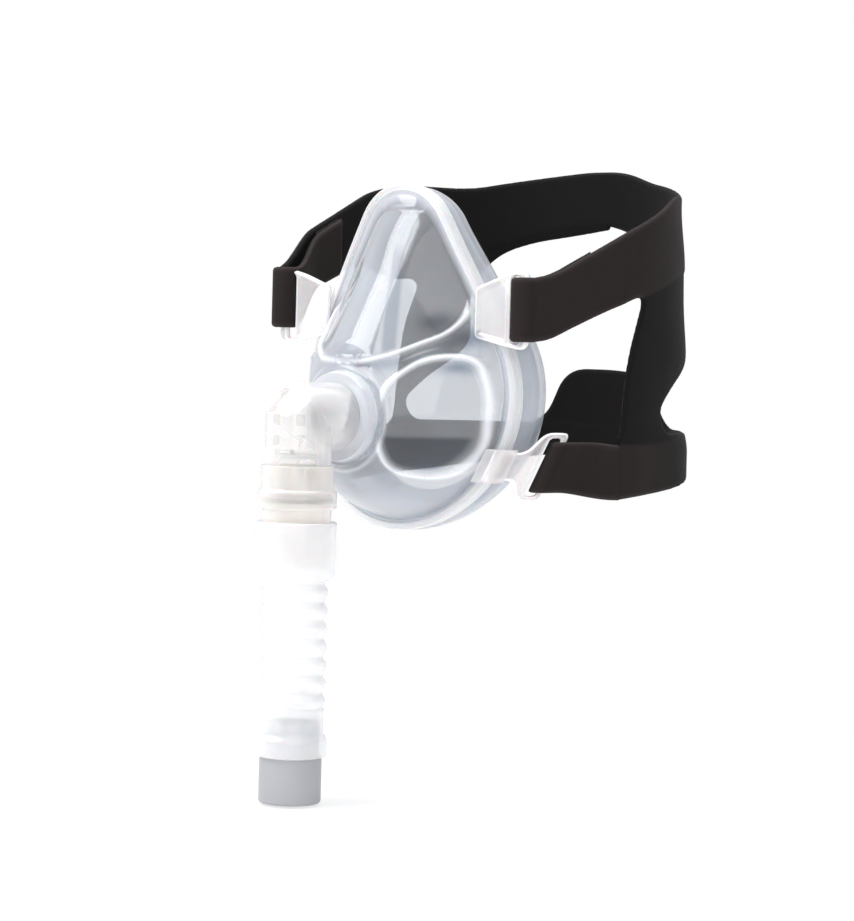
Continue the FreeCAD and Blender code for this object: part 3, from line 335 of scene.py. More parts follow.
def knitCloth(name, colour, sheen, ribs=900.0, bumpSize=0.35, roughness=0.75):
    # laminated knit read from the piece's own map in metres: fine ribs both ways, paler near edges from wear and
    # painted sheen
    material, tree, output = newMaterial(name)
    place = addNode(tree, "TexCoord")
    fine = addNode(tree, "TexWave", {"Vector": place.outputs["UV"], "Scale": ribs, "Distortion": 1.5,
                                     "Detail": 1.0}, bands_direction="Y")
    cross = addNode(tree, "TexWave", {"Vector": place.outputs["UV"], "Scale": ribs * 0.8, "Distortion": 1.2,
                                      "Detail": 1.0}, bands_direction="X")
    weave = addNode(tree, "Math", {0: fine.outputs["Fac"], 1: cross.outputs["Fac"]}, operation="MULTIPLY")
    mottle = objectNoise(tree, 90.0, 5.0)
    edge = addNode(tree, "Attribute", attribute_name="edgeDepth")
    edgeWearAndSheen = addNode(tree, "MapRange", {"Value": edge.outputs["Fac"], "From Min": 0.2, "From Max": 2.2,
                                      "To Min": 1.0, "To Max": 0.0})
    dark = tuple(c * 0.75 for c in colour)
    pale = tuple(c * 2.0 + 0.006 for c in colour)
    # painted shade: the inner face and the bare layer under the bands are darkened towards near-black
    inner = addNode(tree, "Attribute", attribute_name="inner")
    paintedClothShade = addNode(tree, "Attribute", attribute_name="paintedClothShade")
    clothShadeShare = addNode(tree, "Math", {0: inner.outputs["Fac"], 1: paintedClothShade.outputs["Fac"]}, operation="MAXIMUM")
    base = addNode(tree, "Mix", {"Factor": mottle.outputs["Fac"], "A": (*dark, 1), "B": (*colour, 1)},
                   data_type="RGBA")
    rim = addNode(tree, "Math", {0: edgeWearAndSheen.outputs[0], 1: 0.5}, operation="MULTIPLY")
    edged = addNode(tree, "Mix", {"Factor": rim.outputs[0], "A": base.outputs["Result"], "B": (*pale, 1)},
                    data_type="RGBA")
    deepest = addNode(tree, "Math", {0: clothShadeShare.outputs[0], 1: 0.92}, operation="MULTIPLY")
    tone = addNode(tree, "Mix", {"Factor": deepest.outputs[0], "A": edged.outputs["Result"],
                                 "B": (0.0022, 0.0016, 0.0018, 1)}, data_type="RGBA")
    bump = addNode(tree, "Bump", {"Strength": bumpSize, "Distance": 0.0002, "Height": weave.outputs[0]})
    soft = addNode(tree, "Bump", {"Strength": 0.25, "Distance": 0.001, "Height": mottle.outputs["Fac"],
                                  "Normal": bump.outputs["Normal"]})
    body = addNode(tree, "BsdfPrincipled", {
        "Base Color": tone.outputs["Result"], "Roughness": roughness, "Normal": soft.outputs["Normal"],
        "Sheen Weight": sheen, "Sheen Roughness": 0.45, "Sheen Tint": (0.75, 0.7, 0.68, 1),
        "Specular IOR Level": 0.16,
    })
    tree.links.new(body.outputs[0], output.inputs["Surface"])
    return material


finishes = {
    "shell": clearPlastic("clearShell", (0.75, 0.765, 0.785), (0.84, 0.86, 0.90), 0.09, 0.35),
    "loop": clearPlastic("clearLoop", (0.92, 0.91, 0.91), (0.97, 0.94, 0.93), 0.2, 0.5),
    "ring": clearPlastic("clearRing", (0.92, 0.925, 0.93), (0.97, 0.95, 0.95), 0.2, 0.5),
    "elbow": clearPlastic("clearElbow", (0.975, 0.97, 0.965), (0.98, 0.97, 0.95), 0.10, 0.45),
    "silicone": clearPlastic("siliconeSkin", (0.89, 0.905, 0.925), (0.62, 0.64, 0.68), 0.22, 0.35, 0.3, 0.05),
    "caps": clearPlastic("siliconeCaps", (0.92, 0.91, 0.90), (0.96, 0.94, 0.93), 0.45, 0.3, 0.25, 0.05, 0.9),
    "swivel": clearPlastic("swivelPlastic", (0.965, 0.95, 0.93), (0.95, 0.92, 0.89), 0.24, 0.45, 0.12, 0.04, 0.9),
    "tube": clearPlastic("tubeWall", (0.985, 0.987, 0.99), (0.99, 0.99, 0.995), 0.3, 0.25, 0.2, 0.05, 0.92),
    "connector": moulded("greyConnector", (0.33, 0.335, 0.35), 0.38),
    "valve": moulded("valvePlastic", (0.62, 0.63, 0.64), 0.45),
    "seal": moulded("darkSeal", (0.07, 0.055, 0.05), 0.55),
    "cloth": knitCloth("darkKnit", (0.0155, 0.0108, 0.0100), 0.035),
    "hook": knitCloth("hookTape", (0.016, 0.012, 0.012), 0.03, 500.0, 0.8, 0.6),
}


def finish(piece, look, body, nodes):
    # gives a piece its material, the body it moves with and the nodes it stands for
    piece.data.materials.clear()
    piece.data.materials.append(finishes[look])
    if body:
        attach(piece, body)
    if nodes:
        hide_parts(*nodes)
    return piece


shellSizes = {
    "rimDepth": 25.0,          # rim plane ahead of the sealing plane
    "bend": 157.0,             # radius of the rim's sweep round the face
    "rib": 0.9,                # how far the ribs stand above the windows
    "lip": 0.75,               # raised line round each window
    "lipWidth": 0.85,
    "flangeThickness": 2.4,
    "collarRadius": 16.0,
    "collarFront": -61.5,
    "portRadius": 11.5,
    "domeEnd": 32.6,           # depth at which the dome has become the port's circle
    # depth, low radius, low height, high radius, high height; the first row is the rim
    "stations": ((0.0, 45.0, 8.0, 18.0, 62.0), (5.94, 41.5, 6.0, 15.5, 55.5), (13.9, 36.0, 3.5, 14.0, 41.0),
                 (22.1, 30.0, 2.0, 14.0, 27.0), (28.0, 23.5, 1.5, 14.0, 16.3), (32.0, 17.5, 0.5, 13.5, 7.8),
                 (33.0, 15.5, 0.0, 13.5, 2.5)),
    "upperWindow": ((0, 75), (12, 74.5), (22, 57), (30.5, 40), (28.5, 31), (15, 21.5), (0, 19.5), (-15, 21.5),
                    (-28.5, 31), (-30.5, 40), (-22, 57), (-12, 74.5)),
    "sideWindow": ((18.5, 11), (27, 20.5), (37, 21), (41, 8), (38.5, -10), (29, -19.8), (17.5, -17.5),
                   (16.5, -8), (17.5, 2)),
    # painted shade and reflection: steel-blue places painted where the wall is seen through: x, height, reach
    # across, reach up, strength
    "paintedShadeSpots": ((32.5, 28.5, 5.5, 4.5, 0.95), (24.5, 34.5, 4.5, 3.2, 0.8), (34.0, 18.5, 4.5, 2.6, 0.75),
                  (15.0, 19.0, 9.0, 3.0, 0.5), (-26.0, 22.0, 5.0, 9.0, 0.25), (-21.0, 46.0, 4.0, 14.0, 0.3)),
    "columns": 440,
    "outerRows": 120,
}


def pearPoints(u, lowR, lowZ, highR, highZ):
    # a low arc, a straight side, a high arc and a straight side, at the shares of u given here
    lowR, lowZ, highR, highZ = (np.asarray(v, float)[..., None] for v in (lowR, lowZ, highR, highZ))
    lean = np.arcsin(np.clip((lowR - highR) / (highZ - lowZ), -0.97, 0.97))
    marks = (0.56, 0.70, 0.86)
    lowTurn = lean - (np.pi + 2 * lean) * np.clip(u / marks[0], 0, 1)
    highTurn = np.pi - lean - (np.pi - 2 * lean) * np.clip((u - marks[1]) / (marks[2] - marks[1]), 0, 1)
    low = np.stack([lowR * np.cos(lowTurn), lowZ + lowR * np.sin(lowTurn)])
    high = np.stack([highR * np.cos(highTurn), highZ + highR * np.sin(highTurn)])
    first = np.clip((u - marks[0]) / (marks[1] - marks[0]), 0, 1)
    second = np.clip((u - marks[2]) / (1 - marks[2]), 0, 1)
    share = np.where(u < marks[1], first, 1 - second)
    # the first side leaves from the low arc's end, and the second comes back to its start
    lowEnd = np.where(u < marks[2], low, low[..., :1])
    return lowEnd * (1 - share) + high * share


def pearRing(u, forward, lowR, lowZ, highR, highZ, bend):
    # the pear outline ahead of the rim's plane, swept back by x squared over twice the bend
    x, z = pearPoints(u, lowR, lowZ, highR, highZ)
    sweep = x * x / (2 * np.asarray(bend, float)[..., None])
    y = -shellSizes["rimDepth"] - np.asarray(forward, float)[..., None] + sweep
    return np.stack([x, y, z], -1)


def rimRing(u, forward, grow):
    # the rim's own pear, each row moved forward and grown
    lowR, lowZ, highR, highZ = shellSizes["stations"][0][1:]
    grow = np.asarray(grow, float)
    return pearRing(u, forward, lowR + grow, lowZ + 0 * grow, highR + grow, highZ + 0 * grow,
                    np.full(len(grow), shellSizes["bend"]))


def domeSurface(u, depth, grow, lower):
    # the dome's skin at each depth, moved out by grow and back by lower, rounding into the port's circle
    z = shellSizes
    table = smoothTable(depth, z["stations"])
    bend = z["bend"] * (1 + 3 * (depth / 33.0) ** 2)
    rows = pearRing(u, depth - lower, table[:, 0] + grow, table[:, 1], table[:, 2] + grow, table[:, 3], bend)
    angle = portAngles(u)
    share = ease(depth, 29.5, z["domeEnd"])[:, None]
    radius = np.interp(depth, (29.5, 31, z["domeEnd"]), (20.5, 18.3, 16.6)) + grow
    circle = np.stack([radius[:, None] * np.cos(angle), rows[..., 1], radius[:, None] * np.sin(angle)], -1)
    return rows * (1 - share[..., None]) + circle * share[..., None]


def portAngles(u):
    # the angle round the port at which each column arrives
    x, z = pearPoints(u, np.array([22.0]), np.array([1.0]), np.array([14.0]), np.array([14.0]))
    return np.unwrap(np.arctan2(z[0] - 4.0, x[0]))


def circleRows(u, profile):
    # rows of a circle round the port's axis, one for each (radius, y) of the profile
    angle = portAngles(u)
    radius, y = np.asarray(profile, float).T
    return np.stack([radius[:, None] * np.cos(angle), y[:, None] + 0 * angle, radius[:, None] * np.sin(angle)], -1)


def buildShell():
    # the dome's skin moved out along its normal by ribs, lips and the web round the port; then the collar,
    # the inner skin and the flange's edge close it
    z = shellSizes
    u = np.arange(z["columns"]) / z["columns"]
    depth = np.linspace(z["flangeThickness"], z["domeEnd"], z["outerRows"])
    base = domeSurface(u, depth, 0.0, 0.0)
    x, height = base[..., 0], base[..., 2]
    upper = outlineDistance(x, height, roundCorners(z["upperWindow"], 9.0, 6))
    side = outlineDistance(np.abs(x), height, roundCorners(z["sideWindow"], 7.0, 6))
    window = np.minimum(upper, side)
    fade = ease(depth, 2.4, 5.0)[:, None] * (1 - ease(depth, 30.5, 32.0)[:, None])
    raised = ease(window, -0.5, 0.7)
    lip = np.exp(-((window - 0.9) / z["lipWidth"]) ** 2) * fade
    around = np.hypot(x, height)
    web = np.exp(-((around - 18.4) / 0.8) ** 2) * 0.8
    between = 1 - ease(np.maximum(upper, side), 3.2, 5.2)
    # painted shade and reflection: the near window is painted deep blue below a level line, and a painted dark band
    # crosses the upper window
    paintedShade = 0.9 * ease(-side, 0.2, 2.0) * (1 - ease(height, -7.5, -5.5)) * ease(x, 5, 12)
    band = np.abs(x - (17 - 0.26 * (height - 16)))
    paintedShade = paintedShade + 0.4 * (1 - ease(band, 1.2, 2.8)) * ease(-upper, 0.5, 2.0) * (1 - ease(height, 56, 64))
    for atX, atZ, wide, tall, strength in z["paintedShadeSpots"]:
        paintedShade = paintedShade + strength * np.exp(-((x - atX) / wide) ** 2 - ((height - atZ) / tall) ** 2)
    paintedShade = np.clip(paintedShade * (1 - 0.7 * lip), 0, 1)
    rise = z["rib"] * raised + z["lip"] * lip + 0.5 * web * fade
    du = np.roll(base, -1, 1) - np.roll(base, 1, 1)
    dv = np.gradient(base, axis=0)
    normal = np.cross(du, dv)
    normal /= np.linalg.norm(normal, axis=-1, keepdims=True)
    if (normal[..., 1].mean()) > 0:
        normal = -normal
    outer = base + normal * rise[..., None]
    innerDepth = np.linspace(31.4, 0.0, 34)
    inner = domeSurface(u, innerDepth, -1.08, 1.44)
    inner[-1] = rimRing(u, [0.0], [-1.1])[0]
    wide, bore, front = z["collarRadius"], z["portRadius"], z["collarFront"]
    collar = circleRows(u, ((wide + 0.35, -58.0), (wide + 0.05, -58.5), (wide, -60.8), (wide - 0.2, -61.3),
                            (wide - 0.7, front), (bore + 0.7, front), (bore + 0.2, front + 0.15),
                            (bore, front + 0.5), (bore, -52.4), (bore + 0.2, -52.1), (bore + 0.6, -52.0),
                            (wide - 0.5, -52.0), (wide - 0.1, -52.15), (wide, -52.5), (wide, -55.1)))
    # the flange's edge: forward and out, from its back face round to its front
    edge = np.array(((0.0, 2.1), (0.12, 2.4), (0.4, 2.5), (1.9, 2.5), (2.25, 2.4), (2.4, 2.1), (2.4, 1.2)))
    rim = rimRing(u, edge[:, 0], edge[:, 1])
    points = np.concatenate([outer, collar, inner, rim])
    # painted highlight: lips, the web round the port and the rib between the windows are paler; the collar and the
    # flange's edge are paler throughout
    milkAndHighlight = np.zeros(points.shape[:2])
    milkAndHighlight[: z["outerRows"]] = np.clip(0.8 * lip + 0.05 * raised + 0.5 * web * fade + 0.5 * between * fade, 0, 1)
    milkAndHighlight[z["outerRows"]: z["outerRows"] + len(collar)] = 0.4
    milkAndHighlight[-len(rim):] = 0.5
    # the painted shade and reflection go on the outer skin only
    paintedShadeMarks = np.zeros(points.shape[:2])
    paintedShadeMarks[: z["outerRows"]] = paintedShade
    return closedGrid("shellDome", points, {"milkAndHighlight": milkAndHighlight, "paintedShade": paintedShadeMarks})


loopSizes = {
    "reach": 57.0, "bar": 3.5, "thickness": 3.0, "height": 39.0, "halfSlot": 12.0, "slotWidth": 4.0, "arm": 2.4,
    "foot": 35.0, "setBack": -27.0,
}


def buildLoop(side):
    # a flat frame with one slot, a bar outside it and an arm that widens into the shell's flange
    z = loopSizes
    outer = z["reach"] + z["bar"] / 2
    slotOut, slotIn = z["reach"] - z["bar"] / 2, z["reach"] - z["bar"] / 2 - z["slotWidth"]
    inner = slotIn - z["arm"]
    half = z["halfSlot"] + z["arm"]
    frameOutline = roundCorners([(outer, half), (outer, -half), (inner, -half + 1.5), (z["foot"], -10.0),
                                 (z["foot"], 8.0), (inner, half - 1.5)], (5.5, 5.5, 5, 2, 2, 5), 6)
    slotOutline = roundCorners([(slotOut, z["halfSlot"]), (slotOut, -z["halfSlot"]),
                                (slotIn, -z["halfSlot"]), (slotIn, z["halfSlot"])], 1.9, 5)

    def distance(s, t):
        return -np.maximum(outlineDistance(s, t, frameOutline), -outlineDistance(s, t, slotOutline))

    def place(s, t):
        middle = np.stack([side * s, z["setBack"] + 0 * s, z["height"] + t], -1)
        return middle, np.broadcast_to([0.0, -1.0, 0.0], middle.shape)

    return cutSheet(f"strapLoop{'Left' if side > 0 else 'Right'}", place, distance,
                    (z["foot"] - 1, outer + 1, -half - 1, half + 1), 0.45, z["thickness"], 1.0, web=0.55)


clipSizes = {
    "foot": (46.5, -26.2, -16.0), "heading": 56.7, "lean": 25.0, "length": 20.6, "thickness": 2.2, "bead": 1.6,
    "beadLength": 13.0, "slot": 4.2, "bar": 2.2, "halfSlot": 11.3, "play": 0.08,
}


def clipAxes(side):
    # the clip's foot and its directions: towards the strap, along the bead, and out from the face
    z = clipSizes
    heading, lean = math.radians(z["heading"]), math.radians(z["lean"])
    ahead = np.array([math.cos(heading), math.sin(heading), 0])
    up = ahead * math.sin(lean) + np.array([0, 0, math.cos(lean)])
    out = np.array([math.sin(heading), -math.cos(heading), 0])
    foot = np.array(z["foot"])
    flip = np.array([side, 1, 1])
    return foot * flip, ahead * flip, up * flip, out * flip


def buildClip(side):
    # a slotted plate on the clip's own axes, thickened to a bead along its inner edge
    z = clipSizes
    foot, ahead, up, out = clipAxes(side)
    halfBead = z["beadLength"] / 2
    slotEnd = z["length"] - z["bar"]
    slotStart = slotEnd - z["slot"]
    halfFrame = z["halfSlot"] + 2.2
    web = roundCorners([(-0.9, -halfBead + 1.2), (slotStart - 6.5, -halfBead + 1.0), (slotStart - 2.5, -halfFrame),
                        (z["length"], -halfFrame), (z["length"], halfFrame), (slotStart - 2.5, halfFrame),
                        (slotStart - 6.5, halfBead - 1.0), (-0.9, halfBead - 1.2)],
                       (0.5, 3, 3, 2.5, 2.5, 3, 3, 0.5), 5)
    slot = roundCorners([(slotStart, -z["halfSlot"]), (slotEnd, -z["halfSlot"]), (slotEnd, z["halfSlot"]),
                         (slotStart, z["halfSlot"])], 1.4, 4)

    def distance(s, t):
        return -np.maximum(outlineDistance(s, t, web), -outlineDistance(s, t, slot))

    def place(s, t):
        middle = foot + s[:, None] * ahead + t[:, None] * up
        return middle, np.broadcast_to(out, middle.shape)

    name = "Left" if side > 0 else "Right"
    plate = cutSheet(f"clipPlate{name}", place, distance, (-2, z["length"] + 1, -halfFrame - 1, halfFrame + 1),
                     0.45, z["thickness"], 0.8, web=0.6, border=1.5)
    # the bead is a round rod with domed ends along the plate's inner edge
    t = np.linspace(-1, 1, 40)
    radius = z["bead"] * np.sqrt(np.clip(1 - np.clip((np.abs(t) - 0.9) / 0.1, 0, 1) ** 2, 0.0025, 1))
    turn = np.arange(32) / 32 * tau
    across = np.cross(up, out)
    ring = np.cos(turn)[:, None] * out + np.sin(turn)[:, None] * across
    points = foot + (t * halfBead)[:, None, None] * up + radius[:, None, None] * ring
    bead = cappedTube(f"clipBead{name}", points)
    return plate, bead


def cappedTube(name, points, sharp=35):
    # rows round a path, with both ends closed by a point at their middle
    rows, columns = points.shape[:2]
    quads = gridQuads(rows, columns, False, True)
    flat = points.reshape(-1, 3)
    ends = np.array([points[0].mean(0), points[-1].mean(0)])
    first, last = np.arange(columns), np.arange(columns) + (rows - 1) * columns
    count = len(flat)
    fans = np.vstack([
        np.stack([np.roll(first, -1), first, np.full(columns, count)], -1),
        np.stack([last, np.roll(last, -1), np.full(columns, count + 1)], -1),
    ])
    turned = outward(flat, quads)
    if turned is not quads:
        fans = fans[:, ::-1]
    return makeMesh(name, np.vstack([flat, ends]), turned, fans, sharp=sharp)


def railRows(side):
    # the block that holds the clip's bead: a plan outline carried along the clip's up axis, with a
    # round channel open towards the strap
    z = clipSizes
    foot, ahead, up, _ = clipAxes(side)
    half = z["beadLength"] / 2
    reach = z["bead"] + z["play"]
    flare = math.radians(24)
    plan = np.array([(-7.0, -3.0), (-1.5, -3.8), (2.6, -0.6), (1.4, 3.1), (-2.6, 2.5), (-6.0, 1.6)])
    # the channel is cut in plan: its mouth widens between the two rail edges
    axis = math.atan2(ahead[1], abs(ahead[0]))
    mouth = 1.35 / reach
    turn = np.linspace(axis + math.asin(mouth), axis + tau - math.asin(mouth), 24)
    channel = np.stack([np.cos(turn), np.sin(turn)], -1) * reach
    lipOut = [(math.cos(axis - flare) * 4.4, math.sin(axis - flare) * 4.4)]
    lipIn = [(math.cos(axis + flare) * 4.4, math.sin(axis + flare) * 4.4)]
    outline = np.vstack([roundCorners(plan[:3], 1.2, 4, False), lipOut, channel[::-1], lipIn,
                         roundCorners(plan[3:], 1.2, 4, False)])
    rows = []
    for share, grow in ((-1.0, -0.35), (-0.96, -0.08), (-0.9, 0.0), (0.9, 0.0), (0.96, -0.08), (1.0, -0.35)):
        middle = outline.mean(0)
        ring = middle + (outline - middle) * (1 + grow / 6)
        rows.append(foot + np.stack([side * ring[:, 0], ring[:, 1], 0 * ring[:, 0]], -1) + up * (share * half))
    return rows


def buildRails(side):
    # the rails' rows joined, with both many-sided ends cut into triangles
    rows = np.array(railRows(side))
    name = f"clipRails{'Left' if side > 0 else 'Right'}"
    count = rows.shape[1]
    quads = gridQuads(rows.shape[0], count, False, True)
    flat = rows.reshape(-1, 3)
    mesh = bpy.data.meshes.new(name)
    faces = [tuple(q) for q in quads.tolist()]
    faces.append(tuple(range(count))[::-1])
    faces.append(tuple(range((rows.shape[0] - 1) * count, rows.shape[0] * count)))
    mesh.from_pydata((flat * 0.001).tolist(), [], faces)
    work = bmesh.new()
    work.from_mesh(mesh)
    bmesh.ops.recalc_face_normals(work, faces=work.faces)
    bmesh.ops.triangulate(work, faces=[f for f in work.faces if len(f.verts) > 4])
    work.to_mesh(mesh)
    work.free()
    mesh.shade_smooth()
    mesh.set_sharp_from_angle(angle=math.radians(35))
    piece = bpy.data.objects.new(name, mesh)
    bpy.context.scene.collection.objects.link(piece)
    return piece


print("shell")
finish(buildShell(), "shell", "mask", ["shell"])
for side in (1, -1):
    finish(buildLoop(side), "loop", "mask", [])
    finish(buildRails(side), "loop", "mask", [])
    word = "left" if side > 0 else "right"
    plate, bead = buildClip(side)
    finish(plate, "loop", f"clip_{word}", [f"lower_clip_{word}"])
    finish(bead, "loop", f"clip_{word}", [])


cushionSizes = {
    "wall": 1.8, "swell": 5.2, "sealBend": 95.0, "seal": 15.7, "columns": 260, "rows": 130,
    "ringInner": 2.7, "ringOuter": 4.3, "ringFront": 3.8,
}


def buildCushion():
    # a closed outline of (back, grow, bend) carried round the pear: out behind the ring, in to the seal
    # and back along the inner face
    z = cushionSizes
    swell, wall, seal = z["swell"], z["wall"], z["seal"]
    rim, sealBend = shellSizes["bend"], z["sealBend"]
    middle = 0.15 * rim + 0.85 * sealBend
    outside = [(0.25, -1.0, rim), (0.6, 0.4, rim * 0.95), (1.4, 0.55 * swell, 0.8 * rim), (3.4, swell, middle),
               (0.45 * seal, 0.95 * swell, sealBend), (0.8 * seal, 0.25 * swell, sealBend), (seal, -4.0, sealBend),
               (seal + 0.1, -6.5, sealBend), (0.95 * seal, -9.3, sealBend)]
    inside = [(0.95 * seal - 0.9 * wall, -9.3, sealBend), (seal - wall, -6.5, sealBend),
              (seal - wall - 0.2, -4.4, sealBend), (0.8 * seal - 0.8 * wall, 0.2 * swell - 0.9 * wall, sealBend),
              (0.45 * seal, 0.93 * swell - wall, sealBend), (4.4, swell - wall, middle),
              (2.4, 0.5 * swell - wall, 0.8 * rim), (1.0, -1.2 - wall, rim), (0.3, -1.0 - wall, rim)]
    profile = np.array(outside + inside)
    loop = np.vstack([profile, profile[:1]])
    walk = np.concatenate([[0], np.cumsum(np.linalg.norm(np.diff(loop[:, :2], axis=0), axis=1))])
    fine = smoothTable(np.linspace(0, walk[-1], z["rows"], endpoint=False), np.column_stack([walk, loop]))
    back, grow, bend = fine.T
    u = np.arange(z["columns"]) / z["columns"]
    # the soft wall ripples very slightly round the cheeks
    points = pearRing(u, -back, 45 + grow, 8.8 + 0 * grow, 18 + 0.5 * grow, 62.8 + 0 * grow, bend)
    soft = (ease(back, 4, 9) * (1 - ease(back, 12, 15)))[:, None]
    points[..., 1] += 0.25 * soft * np.sin(u * tau * 9)
    milkAndHighlight = np.broadcast_to(0.25 * ease(back, 11, 15)[:, None], points.shape[:2])
    return closedGrid("cushionSkin", points, {"milkAndHighlight": milkAndHighlight})


def buildRing():
    # a grooved outline carried round the rim's pear
    z = cushionSizes
    u = np.arange(z["columns"]) / z["columns"]
    inner, outer, front = z["ringInner"], z["ringOuter"], z["ringFront"]
    corners = [(-1.0, outer - 0.3), (0.1, outer), (0.5, outer - 0.45), (0.9, outer), (2.1, outer),
               (2.5, outer - 0.45), (2.9, outer), (front, outer - 0.2), (front, inner - 1.0), (2.6, inner - 1.0),
               (2.6, inner), (-1.0, inner)]
    profile = roundCorners(corners, (0.4, 0.3, 0.3, 0.3, 0.3, 0.3, 0.3, 0.5, 0.3, 0.2, 0.2, 0.3), 3)
    points = rimRing(u, profile[:, 0], profile[:, 1])
    return closedGrid("cushionRing", points, {"milkAndHighlight": np.full(points.shape[:2], 0.15)})


print("cushion")
finish(buildCushion(), "silicone", "mask", ["cushion"])
finish(buildRing(), "ring", "mask", ["cushion_clip"])


elbowSizes = {
    "axisY": -80.0, "legRadius": 11.7, "legBore": 9.6, "legEnd": -31.0, "barrelRadius": 12.0, "barrelBore": 9.8,
    "shoulder": -61.8, "spigotRadius": 11.45, "spigotEnd": -48.5, "slantTop": 12.0, "innerDrop": 2.83,
    "mitreRound": 1.6,
    "ventWidth": 3.2, "ventHeight": 4.0, "ventTurn": 45.0, "ventRows": (-1.0, -8.0), "columns": 128,
    "capSide": -5.0, "capDown": 8.5, "capPitch": 8.0, "capRadius": 2.3, "capHeight": 2.4, "plugRadius": 1.5,
}


def softLess(a, b):
    # the smaller of two values, with the corner between them rounded
    rounding = elbowSizes["mitreRound"]
    h = np.clip(0.5 + 0.5 * (b - a) / rounding, 0, 1)
    return b * (1 - h) + a * h - rounding * h * (1 - h)


def elbowSkin(legR, barrelR, slantTop, legEnd, barrelStops):
    # leg rows rise to the mitre or the slanted face, whichever is lower, cross the slanted face, then
    # follow the barrel back to the mask
    z = elbowSizes
    phi = np.arange(z["columns"]) / z["columns"] * tau
    legTop = softLess(legR * np.sin(phi), slantTop - legR * np.sin(phi))
    share = np.linspace(0, 1, 40)[:, None]
    legZ = legEnd + (legTop - legEnd) * share
    leg = np.stack([legR * np.cos(phi) + 0 * legZ, z["axisY"] - legR * np.sin(phi) + 0 * legZ, legZ], -1)
    start = -softLess(barrelR * np.sin(phi), slantTop - barrelR * np.sin(phi)) + z["axisY"]
    firstStop = barrelStops[0][1]
    share = np.linspace(0, 1, 26)[:, None]
    barrelY = start + (firstStop - start) * share
    barrel = np.stack([barrelR * np.cos(phi) + 0 * barrelY, barrelY, barrelR * np.sin(phi) + 0 * barrelY], -1)
    share = np.linspace(0, 1, 12)[1:-1, None, None]
    face = leg[-1] * (1 - share) + barrel[0] * share
    rest = [np.stack([r * np.cos(phi), y + 0 * phi, r * np.sin(phi)], -1) for r, y in barrelStops]
    return np.concatenate([leg, face, barrel, np.array(rest)])


def roundedBox(name, centre, axes, half, corner):
    # a rounded rectangle carried along the third axis
    outline = roundCorners([(-half[0], -half[1]), (half[0], -half[1]), (half[0], half[1]), (-half[0], half[1])],
                           corner, 4)
    a, b, c = (np.asarray(v, float) for v in axes)
    flat = outline[:, :1] * a + outline[:, 1:] * b
    points = np.array([np.asarray(centre) + flat + c * level for level in (-half[2], half[2])])
    return cappedTube(name, points)


def capSeats():
    # the two knobs' places on the slanted face, its normal and the way down it
    z = elbowSizes
    normal = np.array([0, -1, 1]) / math.sqrt(2)
    down = np.array([0, -1, -1]) / math.sqrt(2)
    middle = np.array([z["capSide"], z["axisY"], z["slantTop"]]) + down * z["capDown"]
    return middle + down * z["capPitch"] / 2, middle - down * z["capPitch"] / 2, normal, down


def buildElbow():
    # outer and inner skins joined at both mouths, then pierced by the vents and the caps' holes
    z = elbowSizes
    shoulder, spigotEnd, legEnd = z["shoulder"], z["spigotEnd"], z["legEnd"]
    stops = ((z["barrelRadius"], shoulder - 0.5), (z["barrelRadius"] - 0.15, shoulder - 0.15),
             (z["barrelRadius"] - 0.4, shoulder), (z["spigotRadius"], shoulder + 0.1),
             (z["spigotRadius"], spigotEnd - 0.4), (z["spigotRadius"] - 0.4, spigotEnd))
    outer = elbowSkin(z["legRadius"], z["barrelRadius"], z["slantTop"], legEnd + 0.4, stops)
    foot = elbowSkin(z["legRadius"] - 0.3, z["barrelRadius"], z["slantTop"], legEnd, stops)[:1]
    innerStops = ((z["barrelBore"], -60.0), (z["barrelBore"], spigotEnd - 0.5), (z["barrelBore"] + 0.3, spigotEnd))
    inner = elbowSkin(z["legBore"], z["barrelBore"], z["slantTop"] - z["innerDrop"], legEnd + 0.3, innerStops)
    innerFoot = elbowSkin(z["legBore"] + 0.3, z["barrelBore"], 9.0, legEnd, innerStops)[:1]
    points = np.concatenate([foot, outer, inner[::-1], innerFoot])
    piece = closedGrid("elbowWall", points)
    cutters = []
    for column in (-1, 0, 1):
        turn = math.radians(column * z["ventTurn"])
        direction = np.array([math.sin(turn), -math.cos(turn), 0])
        across = np.array([math.cos(turn), math.sin(turn), 0])
        for height in z["ventRows"]:
            centre = np.array([0, z["axisY"], height]) + direction * 10.0
            cutters.append(roundedBox("ventCut", centre, (across, (0, 0, 1), direction),
                                      (z["ventWidth"] / 2, z["ventHeight"] / 2, 4.0), 1.0))
    low, high, normal, down = capSeats()
    side = np.cross(normal, down)
    for seat in (low, high):
        cutters.append(roundedBox("plugCut", seat, (side, down, normal),
                                  (z["plugRadius"] + 0.1, z["plugRadius"] + 0.1, 6.0), 1.5))
    carve(piece, cutters)
    return piece


def buildCaps():
    # two domed knobs on plugs, and the thin strip between them
    z = elbowSizes
    low, high, normal, down = capSeats()
    side = np.cross(normal, down)
    pieces = []
    r, h, plug = z["capRadius"], z["capHeight"], z["plugRadius"]
    profile = np.array([(0.05, -1.8), (plug - 0.2, -1.8), (plug, -1.6), (plug, 0.05), (r - 0.25, 0.05), (r, 0.3),
                        (r * 0.93, h * 0.5), (r * 0.98, h * 0.62), (r * 0.9, h * 0.85), (r * 0.65, h * 0.97),
                        (r * 0.3, h), (0.05, h)])
    turn = np.arange(48) / 48 * tau
    for name, seat in (("capLow", low), ("capHigh", high)):
        ring = np.cos(turn)[:, None] * side + np.sin(turn)[:, None] * down
        points = seat + profile[:, 0][:, None, None] * ring + profile[:, 1][:, None, None] * normal
        pieces.append(cappedTube(name, points))
    middle = (low + high) / 2 + normal * 0.65
    pieces.append(roundedBox("capStrip", middle, (side, normal, down), (1.38, 0.55, z["capPitch"] / 2), 0.5))
    return pieces


